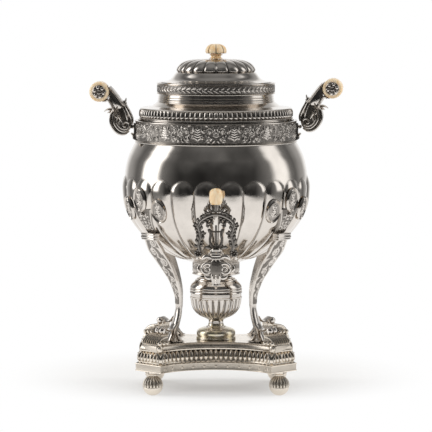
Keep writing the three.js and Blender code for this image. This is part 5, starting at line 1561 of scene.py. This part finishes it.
class SAMOVAR_OT_tap(bpy.types.Operator):
    """Casts the tap with its flange and leaves, and the turning key with its garland, lyre and finial"""
    bl_idname = "samovar.tap"
    bl_label = "Tap"

    def execute(self, context):
        low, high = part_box("tap_plug")
        axis = Matrix.Translation(((low.x + high.x) / 2, (low.y + high.y) / 2, 0))
        self.casting(axis)
        self.flange()
        self.plug(axis)
        self.wreath(axis)
        self.lyre(axis)
        self.finial(axis)
        return {"FINISHED"}

    def casting(self, axis):
        """Pipe, barrel and spout, with a leafy volute on each side and a bud below."""
        low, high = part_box("tap_casting")
        barrel = [*in_mm([(5.2, 0), (5.9, 0.4), (5.9, 1.6), (4.9, 2.2), (5.3, 5), (6.1, 8.6), (7.6, 10),
                          (7.6, 11),
                          (9.6, 13.5), (11.2, 18), (11.4, 26), (10.6, 31), (9, 33.4), (10.4, 34.2)], 0,
                          low.z),
                  *in_mm([(10.4, -0.5), (9.6, 0), (7.9, 0), (7.9, -3)], 0, high.z)]
        drum = outward(tube_mesh(turned_rings(rounded(barrel, 0.5 * MM, 2), 56)))
        set_recess(drum, [0.75 if low.z + 9 * MM < v.co.z < low.z + 33 * MM else 0.1 for v in drum.vertices])
        pipe = in_mm([(4.9, -140), (8.2, -140), (8.2, -128), (9.6, -126), (9.6, -123), (8.2, -121),
                      (7.8, -100)])
        pipe += [(8.3 * MM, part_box("tap_flange")[0].y), *in_mm([(8.3, -60), (4.9, -60)])]
        run = tube_mesh(turned_rings(rounded(pipe, 0.8 * MM, 2), 40))
        run.transform(Matrix.Translation((0, 0, TAP_LEVEL)) @ Matrix.Rotation(-TURN / 4, 4, "X"))
        outward(run)
        drum.transform(axis)
        ornament = []
        for side in (-1, 1):
            ornament.append(curl((side * 11.4 * MM, TAP_LEVEL - 2.6 * MM), 8.2 * MM, 1.6 * MM,
                                 math.pi / 2 + side * 0.9, -side * 1.7, 2.2 * MM, 60))
            ornament += drops(TAP_LEAVES, side, base=TAP_LEVEL)
        ornament += drops(TAP_BUD, base=TAP_LEVEL)
        leaves = merged([self.on_barrel(mesh) for mesh in solid_strokes(ornament, 0.8, sides=8)])
        leaves.transform(axis)
        dressed("tap_body", merged([drum, run, leaves]), "urn", "cast", ["tap_casting"], crease=50)
        low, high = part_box("tap_nut")
        ring = rounded([*in_mm([(8.2, 0), (9.8, 0)], 0, low.z), *in_mm([(9.8, 0), (8.2, 0)], 0, high.z)],
                       0.5 * MM, 2)
        ring = tube_mesh(turned_rings(ring, 48))
        ring.transform(axis)
        dressed("tap_ring", outward(ring), "urn", "silver", ["tap_nut"])

    def on_barrel(self, mesh):
        """Lays a flat piece of the XZ plane on the barrel's front and sides."""
        for vertex in mesh.vertices:
            x, y, z = vertex.co
            near = 9.4 * MM - 0.3 * abs(x)
            vertex.co = (x, y - near, z)
        return mesh

    def flange(self):
        """The moulded rosette where the pipe leaves the body."""
        low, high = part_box("tap_flange")
        edge = (high.x - low.x) / 2
        level = (low.z + high.z) / 2
        line = rounded([(8.7 * MM, 0), (edge, 0), (edge, 1.6 * MM), (0.93 * edge, 2.4 * MM),
                        (0.82 * edge, 2.0 * MM), (0.7 * edge, 4.0 * MM), (8.7 * MM, 5.5 * MM)], 0.4 * MM, 2)
        mesh = tube_mesh(turned_rings(line, 128))
        set_recess(mesh, [0.6 if 0.74 * edge < v.co.xy.length < 0.9 * edge else 0.1 for v in mesh.vertices])
        mesh.transform(Matrix.Translation((0, high.y - 1.5 * MM, level)) @ Matrix.Rotation(TURN / 4, 4, "X"))
        dressed("tap_rosette", outward(mesh), "urn", "silver", ["tap_flange"], crease=30)

    def plug(self, axis):
        """The turning plug: its head above the nut, with a bead, and its taper inside."""
        low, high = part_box("tap_plug")
        line = rounded([*in_mm([(0.3, 0), (3.6, 0)], 0, low.z),
                        *in_mm([(6.6, -8.2), (9.6, -6.8), (9.8, -5.8), (8.4, -4.8), (7, -3.4), (7.6, -2),
                                (6.8, -0.4), (0.3, -0.2)], 0, high.z)], 0.4 * MM, 2)
        mesh = tube_mesh(turned_rings(line, 48))
        mesh.transform(axis)
        dressed("tap_spindle", outward(mesh), "tap_key", "silver", ["tap_plug"])

    def wreath(self, axis):
        """The openwork key: two stems bound with leaves, rosettes at their feet, curls and a leafy crest."""
        low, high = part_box("key_wreath")
        base = low.z
        rows = []
        for side in (-1, 1):
            stem = smooth_line([(side * x * MM, base + z * MM) for x, z in WREATH_STEM], 6)
            rows.append(stroke(stem, np.full(len(stem), 2.2 * MM)))
            run = np.gradient(stem, axis=0)
            run /= np.linalg.norm(run, axis=1, keepdims=True)
            for place in range(4, len(stem) - 8, 4):
                along, across = run[place], np.array([-run[place][1], run[place][0]])
                for way in (-1, 1):
                    rows.append(drop(stem[place] - along * 1.2 * MM,
                                     stem[place] + along * 3.8 * MM + across * way * 4.2 * MM, 1.9 * MM,
                                     way * 0.22))
            rows += [curl((side * x * MM, base + z * MM), outer * MM, inner * MM, TURN / 4 + side * start,
                          side * turns, wide * MM, count)
                     for x, z, outer, inner, start, turns, wide, count in WREATH_CURLS]
            rows += drops(WREATH_LEAVES, side, base=base)
            petals = 7
            for petal in range(petals):
                way = np.array([math.cos(TURN * petal / petals), math.sin(TURN * petal / petals)])
                middle = np.array([side * 22.6 * MM, base + 0.4 * MM])
                rows.append(drop(middle + way * 1.2 * MM, middle + way * 5.4 * MM, 2.0 * MM))
            rows += drops([(21, 0.4, 24.2, 0.4, 1.9, 0)], side, base=base)
        rows += [drop((0, base + 45 * MM), (0, high.z), 2.2 * MM), drop((0, base), (0, base + 7 * MM),
                                                                        3.2 * MM)]
        shape = merged(solid_strokes(rows, 0.95, sides=8))
        set_recess(shape, [0.5 + 0.4 * (abs(v.co.y) < 1.3 * MM) for v in shape.vertices])
        shape.transform(axis)
        dressed("key_garland", shape, "tap_key", "cast", ["key_wreath"], crease=60)

    def lyre(self, axis):
        """The lyre: curved arms that end in curls, a yoke, three strings and a ball."""
        low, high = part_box("key_lyre")
        wide, tall, base = high.x - low.x, high.z - low.z, low.z
        parts = []
        for side in (-1, 1):
            arm = smooth_line([(side * x * wide, base + z * tall) for x, z in (
                (0.05, 0.03), (0.24, 0.08), (0.39, 0.24), (0.42, 0.46), (0.38, 0.66), (0.4, 0.84),
                (0.47, 0.95),
                (0.55, 0.9))], 5)
            parts.append(limb(arm, 1.8 * MM, 1.7 * MM, 8))
            parts.append(limb([(side * 0.13 * wide, base + 0.16 * tall),
                               (side * 0.13 * wide, base + 0.84 * tall)],
                              0.4 * MM, 0.5 * MM, 6))
        parts += [ball(0, base + 0.17 * tall, 2.1 * MM, 12),
                  limb([(-0.56 * wide, base + 0.86 * tall), (0.56 * wide, base + 0.86 * tall)], 1.1 * MM,
                       1.1 * MM, 8),
                  limb([(0, base + 0.16 * tall), (0, base + 1.2 * tall)], 1.2 * MM, 0.9 * MM, 6),
                  limb([(0, base), (0, base + 0.1 * tall)], 1.7 * MM, 1.7 * MM, 8)]
        shape = merged(parts)
        set_recess(shape, np.full(len(shape.vertices), 0.8))
        shape.transform(axis)
        dressed("key_lyre_cast", shape, "tap_key", "cast", ["key_lyre"], crease=60)

    def finial(self, axis):
        """The ivory finial on the key."""
        low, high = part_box("key_finial")
        edge = (high.x - low.x) / 2
        tall = high.z - low.z
        line = smooth_line([(edge * x, low.z + tall * z) for x, z in (
            (0.72, 0.0), (0.86, 0.08), (0.96, 0.25), (0.99, 0.5), (0.93, 0.75), (0.7, 0.92), (0.3, 0.99))], 5)
        line = np.vstack([[(0.3 * MM, low.z)], line, [(0.3 * MM, high.z)]])
        shape = tube_mesh(turned_rings(line, 48))
        shape.transform(axis)
        dressed("key_finial_turned", outward(shape), "tap_key", "ivory", ["key_finial"])


# What a user would change
def number(name, description, default, **more):
    """A setting without a unit, unless one is given."""
    return bpy.props.FloatProperty(name=name, description=description, default=default, **more)


def length(name, description, default):
    """A length setting in metres."""
    return number(name, description, default, unit="LENGTH", precision=4)


def count(name, description, default):
    """A whole number of something."""
    return bpy.props.IntProperty(name=name, description=description, default=default)


def colour(name, description, text):
    """A colour setting, given as sRGB hex."""
    return bpy.props.FloatVectorProperty(name=name, description=description, subtype="COLOR", size=4,
                                         min=0, max=1, default=hex_linear(text))


class SamovarSizes(bpy.types.PropertyGroup):
    """Counts and depths of the ornament."""
    body_lobes: count("Body lobes", "Lobes round the body", 24)
    lobe_depth: length("Lobe depth", "Depth of the valleys between the body's lobes", 4.5 * MM)
    lobe_swell: length("Lobe swell", "How far the lobes swell out below their arches", 1.9 * MM)
    lobe_top: length("Lobe top", "Height of the arches that end the body's lobes", 281 * MM)
    lobe_shift: number("Lobe shift", "Turn of the lobes, in lobes", -0.113)
    band_units: count("Band units", "Rosettes round the band", 14)
    shoulder_gadroons: count("Shoulder gadroons", "Gadroons round the shoulder", 96)
    laurel_leaves: count("Laurel leaves", "Leaf groups round the lid's rim", 66)
    dome_lobes: count("Dome lobes", "Lobes of the lid's crown", 20)
    knob_segments: count("Knob segments", "Segments of the carved knob", 8)
    long_hollow: length("Long hollow", "How far the base's front and back curve in", 38 * MM)
    short_hollow: length("Short hollow", "How far the base's ends curve in", 17 * MM)
    plinth_cut: length("Plinth corner", "What is cut off each corner of the plinth", 33.9 * MM)
    slab_cut: length("Slab corner", "What is cut off each corner of the slab", 26 * MM)
    gadroon_pitch: length("Gadroon pitch", "From one gadroon of the plinth to the next", 6.2 * MM)
    star_pitch: length("Star pitch", "From one star of the plinth to the next", 15.3 * MM)
    collar_height: length("Collar height", "Underside of the legs' collars above the table", 202 * MM)
    leg_width: length("Leg width", "Width of a leg at its collar", 25 * MM)
    waist_radius: length("Waist radius", "From the axis to a leg's waist", 61.3 * MM)
    waist_height: length("Waist height", "From the slab to a leg's waist", 49.5 * MM)
    scroll_radius: length("Scroll radius", "From the axis to a leg's scroll foot", 90.8 * MM)
    scroll_height: length("Scroll height", "From the slab to the scroll's axis", 17 * MM)
    block_reach: length("Block reach", "From the scroll's axis to the corner block's front", 17.2 * MM)
    block_length: length("Block length", "Length of a corner block along the leg's plane", 17 * MM)
    block_width: length("Block width", "Width of a corner block", 35 * MM)
    medallion_width: length("Medallion width", "Width of an oval medallion", 24 * MM)
    medallion_height: length("Medallion height", "Height of an oval medallion", 33 * MM)
    lamp_flutes: count("Lamp flutes", "Flutes round the lamp", 24)
    foot_flutes: count("Foot flutes", "Flutes of each ball foot", 18)


class SamovarFinish(bpy.types.PropertyGroup):
    """Colours of the finishes."""
    silver: colour("Silver", "Polished silver", "#E6DFD7")
    dull_silver: colour("Dulled silver", "Silver of the base, which is polished least", "#F0E6D8")
    tarnish: colour("Tarnish", "Silver sulphide left in the grooves", "#4A433B")
    ivory: colour("Ivory", "Ivory where it is palest", "#F9E9CC")
    ivory_shade: colour("Ivory shade", "Ivory where it has yellowed", "#E3B97E")
    ivory_groove: colour("Ivory groove", "Dirt in the ivory's grooves", "#4E3418")
    gilt: colour("Gilding", "Thin worn gilding", "#E6DBC0")
    cotton: colour("Cotton", "The wick's cotton", "#DDD5C2")
    char: colour("Char", "The wick's burnt tip", "#2B2622")


class SamovarStage(bpy.types.PropertyGroup):
    """Camera and light."""
    lens: number("Lens", "Focal length in millimetres", 229.2)
    camera_distance: length("Camera distance", "From the camera to the point it aims at", 3.611)
    camera_elevation: number("Camera elevation", "Angle above the horizon", math.radians(5), unit="ROTATION")
    aim_height: length("Aim height", "Height that the camera aims at, on the urn's axis", 0.2275)
    table_radius: length("Table radius", "Radius of the white table", 1.25)
    paper: colour("Paper", "The table's white paper", "#F2F1EF")
    side_power: number("Side light", "Power of each side soft box", 7.0, unit="POWER")
    top_power: number("Top light", "Power of the overhead soft box", 5.0, unit="POWER")
    side_angle: number("Side angle", "From the back round to the middle of each side light's glow",
                       math.radians(88), unit="ROTATION")
    side_glow: number("Side glow", "Brightness of the side lights in the silver", 2.4)
    skirt: number("Skirt", "Brightness of the walls beside the side lights", 0.2)
    right_share: number("Right share", "Brightness of the right side light against the left one's", 0.5)
    ceiling: number("Ceiling", "Brightness straight above, in the silver", 0.25)
    room_low: number("Room level", "Light from the walls in front", 0.03)
    room_high: number("Ceiling level", "Light from the ceiling", 0.11)
    room_flank: number("Flank level", "Light from beside the backdrop", 0.42)
    fill: number("Fill", "Even light on what doesn't mirror the room", 0.8)


class SAMOVAR_OT_carried(bpy.types.Operator):
    """Gives the CAD nodes that are shown as they are the finish of what they are made of"""
    bl_idname = "samovar.carried"
    bl_label = "Plain fittings"

    def execute(self, context):
        slots = {part["node"]: part["material_slot"] for part in frame["record"]["subparts"]}
        for name, node in frame["nodes"].items():
            node.data.materials.clear()
            node.data.materials.append(MATERIALS[slots[name]])
        return {"FINISHED"}


class SAMOVAR_OT_stage(bpy.types.Operator):
    """Sets a white table, soft boxes, the studio that the silver mirrors and the camera"""
    bl_idname = "samovar.stage"
    bl_label = "Stage"

    def execute(self, context):
        scene = context.scene
        stage = scene.samovar_stage
        self.table(stage)
        self.surroundings(scene, stage)
        for name, azimuth, height, width, tall, power in (
                ("Left soft box", -92, 0.62, 0.42, 1.3, stage.side_power),
                ("Right soft box", 92, 0.62, 0.42, 1.3, stage.side_power),
                ("Overhead soft box", 170, 2.3, 1.6, 1.0, stage.top_power)):
            self.soft_box(name, azimuth, height, width, tall, power)
        self.camera(scene, stage)
        scene.view_settings.view_transform = "Standard"
        return {"FINISHED"}

    def table(self, stage):
        """A round white table whose far part turns into the white of the backdrop."""
        rim = circle(stage.table_radius, 0, 96)
        mesh = mesh_of(rim, [tuple(range(len(rim)))])
        table = bpy.data.objects.new("Table", mesh)
        bpy.context.scene.collection.objects.link(table)
        paper, tree, shader = blank_material("Matt white paper")
        shader.inputs["Base Color"].default_value = stage.paper
        shader.inputs["Roughness"].default_value = 0.9
        shader.inputs["Specular IOR Level"].default_value = 0.1
        place = add(tree, "ShaderNodeTexCoord").outputs["Object"]
        away = add(tree, "ShaderNodeVectorMath", {"operation": "DISTANCE"}, {0: place, 1: (0, 0.12, 0)})
        path = add(tree, "ShaderNodeLightPath").outputs
        made = chain(tree, {
            "away": away.outputs["Value"], "camera": path["Is Camera Ray"], "glossy": path["Is Glossy Ray"],
            "through": path["Is Transmission Ray"]}, (
                ("fade", "SMOOTHSTEP", "away", 0.13, 0.3, 0.3, 1.0),
                ("seen", "MAXIMUM", "camera", "glossy"),
                ("seen", "MAXIMUM", "seen", "through"),
                ("share", "MULTIPLY", "fade", "seen")))
        white = add(tree, "ShaderNodeEmission", None, {"Color": (1, 1, 1, 1), "Strength": 1.0})
        both = add(tree, "ShaderNodeMixShader", None, {0: made["share"], 1: shader, 2: white})
        output = next(node for node in tree.nodes if node.type == "OUTPUT_MATERIAL")
        tree.links.new(both.outputs[0], output.inputs["Surface"])
        mesh.materials.append(paper)

    def surroundings(self, scene, stage):
        """White behind the urn and dim studio walls in front, which the silver reflects as dark bands."""
        world = bpy.data.worlds.new("Studio")
        scene.world = world
        world.use_nodes = True
        tree = world.node_tree
        tree.nodes.clear()
        way = add(tree, "ShaderNodeTexCoord").outputs["Generated"]
        parts = add(tree, "ShaderNodeSeparateXYZ", None, {0: way}).outputs
        cloud = add(tree, "ShaderNodeTexNoise", None, {"Vector": way, "Scale": 2.2, "Detail": 1.5})
        path = add(tree, "ShaderNodeLightPath").outputs
        angles = [math.radians(degrees) for degrees in (8, 19, 10, 55)]
        made = chain(tree, {
            "X": parts["X"], "Y": parts["Y"], "Z": parts["Z"], "cloud": cloud.outputs["Fac"],
            "camera": path["Is Camera Ray"], "diffuse": path["Is Diffuse Ray"]}, (
                # dim, clouded walls in front, brighter beside the white backdrop
                ("flank", "SMOOTHSTEP", "Y", 0.35, 0.85),
                ("behind", "SMOOTHSTEP", "Y", 0.8, 0.97),
                ("above", "SMOOTHSTEP", "Z", 0.1, 0.95, stage.room_low, stage.room_high),
                ("dim", "LINEAR", "cloud", 0.3, 0.7, 0.6, 1.5),
                ("room", "MULTIPLY", "above", "dim"),
                ("light", "MIX", "flank", "room", stage.room_flank),
                ("light", "MIX", "behind", "light", 1.0),
                # an upright window on each side, with a skirt of grey beside it
                ("across", "ABSOLUTE", "X"),
                ("round", "ARCTAN2", "across", "Y"),
                ("beside", "SUBTRACT", "round", stage.side_angle),
                ("beside", "ABSOLUTE", "beside"),
                ("wide", "SMOOTHSTEP", "beside", *angles[:2], 1.0, 0.0),
                ("over", "SMOOTHSTEP", "Z", -0.12, 0.08),
                ("under", "SMOOTHSTEP", "Z", 0.62, 0.86, 1.0, 0.0),
                ("skirt", "SMOOTHSTEP", "beside", *angles[2:], stage.skirt, 0.0),
                ("light", "MAXIMUM", "light", "skirt"),
                ("window", "MULTIPLY", "wide", "over"),
                ("window", "MULTIPLY", "window", "under"),
                ("glow", "LINEAR", "X", -0.3, 0.3, stage.side_glow, stage.side_glow * stage.right_share),
                ("light", "MIX", "window", "light", "glow"),
                # a patch of ceiling, an even fill for what doesn't mirror, and white for the camera
                ("top", "SMOOTHSTEP", "Z", 0.86, 0.985),
                ("light", "MIX", "top", "light", stage.ceiling),
                ("light", "MIX", "diffuse", "light", stage.fill),
                ("light", "MIX", "camera", "light", 1.0)))
        shown = add(tree, "ShaderNodeBackground", None, {"Color": (1, 1, 1, 1), "Strength": made["light"]})
        add(tree, "ShaderNodeOutputWorld", None, {"Surface": shown})

    def soft_box(self, name, azimuth, height, width, tall, power):
        """A soft box at an azimuth from the camera's side, aimed at the urn's middle."""
        light = bpy.data.lights.new(name, "AREA")
        light.shape = "RECTANGLE"
        light.size = width
        light.size_y = tall
        light.energy = power
        lamp = bpy.data.objects.new(name, light)
        bpy.context.scene.collection.objects.link(lamp)
        distance = 1.5
        turn = math.radians(azimuth)
        lamp.location = (distance * math.sin(turn), -distance * math.cos(turn), height)
        lamp.visible_glossy = False
        aim = Vector((0, 0, 0.24)) - lamp.location
        lamp.rotation_euler = aim.to_track_quat("-Z", "Y").to_euler()

    def camera(self, scene, stage):
        """The photograph's view: level with the urn's shoulder, from far in front."""
        lens = bpy.data.cameras.new("Camera")
        lens.sensor_width = 36
        lens.lens = stage.lens
        lens.clip_end = 20
        camera = bpy.data.objects.new("Camera", lens)
        scene.collection.objects.link(camera)
        rise = stage.camera_elevation
        aim = Vector((0, 0, stage.aim_height))
        back = Vector((0, -math.cos(rise), math.sin(rise)))
        camera.location = aim + back * stage.camera_distance
        camera.rotation_euler = (-back).to_track_quat("-Z", "Y").to_euler()
        scene.camera = camera


class SAMOVAR_PT_panel(bpy.types.Panel):
    """Lists the steps in the order that builds the samovar"""
    bl_idname = "SAMOVAR_PT_panel"
    bl_label = "Silver samovar"
    bl_space_type = "VIEW_3D"
    bl_region_type = "UI"
    bl_category = "Samovar"

    def draw(self, context):
        for group in (context.scene.samovar_sizes, context.scene.samovar_finish, context.scene.samovar_stage):
            for name in group.__annotations__:
                self.layout.prop(group, name)
        for operator in OPERATORS:
            self.layout.operator(operator.bl_idname)


GROUPS = {"samovar_sizes": SamovarSizes, "samovar_finish": SamovarFinish, "samovar_stage": SamovarStage}
OPERATORS = (
    SAMOVAR_OT_carried, SAMOVAR_OT_body, SAMOVAR_OT_band, SAMOVAR_OT_shoulder, SAMOVAR_OT_lid,
    SAMOVAR_OT_base, SAMOVAR_OT_legs, SAMOVAR_OT_palmettes, SAMOVAR_OT_lamp, SAMOVAR_OT_handles,
    SAMOVAR_OT_tap, SAMOVAR_OT_stage,
)


def register():
    """Registers the settings, the steps and the panel."""
    for made in (*GROUPS.values(), *OPERATORS, SAMOVAR_PT_panel):
        bpy.utils.register_class(made)
    for name, group in GROUPS.items():
        setattr(bpy.types.Scene, name, bpy.props.PointerProperty(type=group))


def unregister():
    """Takes them all away again."""
    for name in GROUPS:
        delattr(bpy.types.Scene, name)
    for made in reversed((*GROUPS.values(), *OPERATORS, SAMOVAR_PT_panel)):
        bpy.utils.unregister_class(made)


def main():
    """Builds the samovar step by step."""
    register()
    make_materials(bpy.context.scene.samovar_finish)
    for operator in OPERATORS:
        group, name = operator.bl_idname.split(".")
        getattr(getattr(bpy.ops, group), name)()


if __name__ == "__main__":
    main()
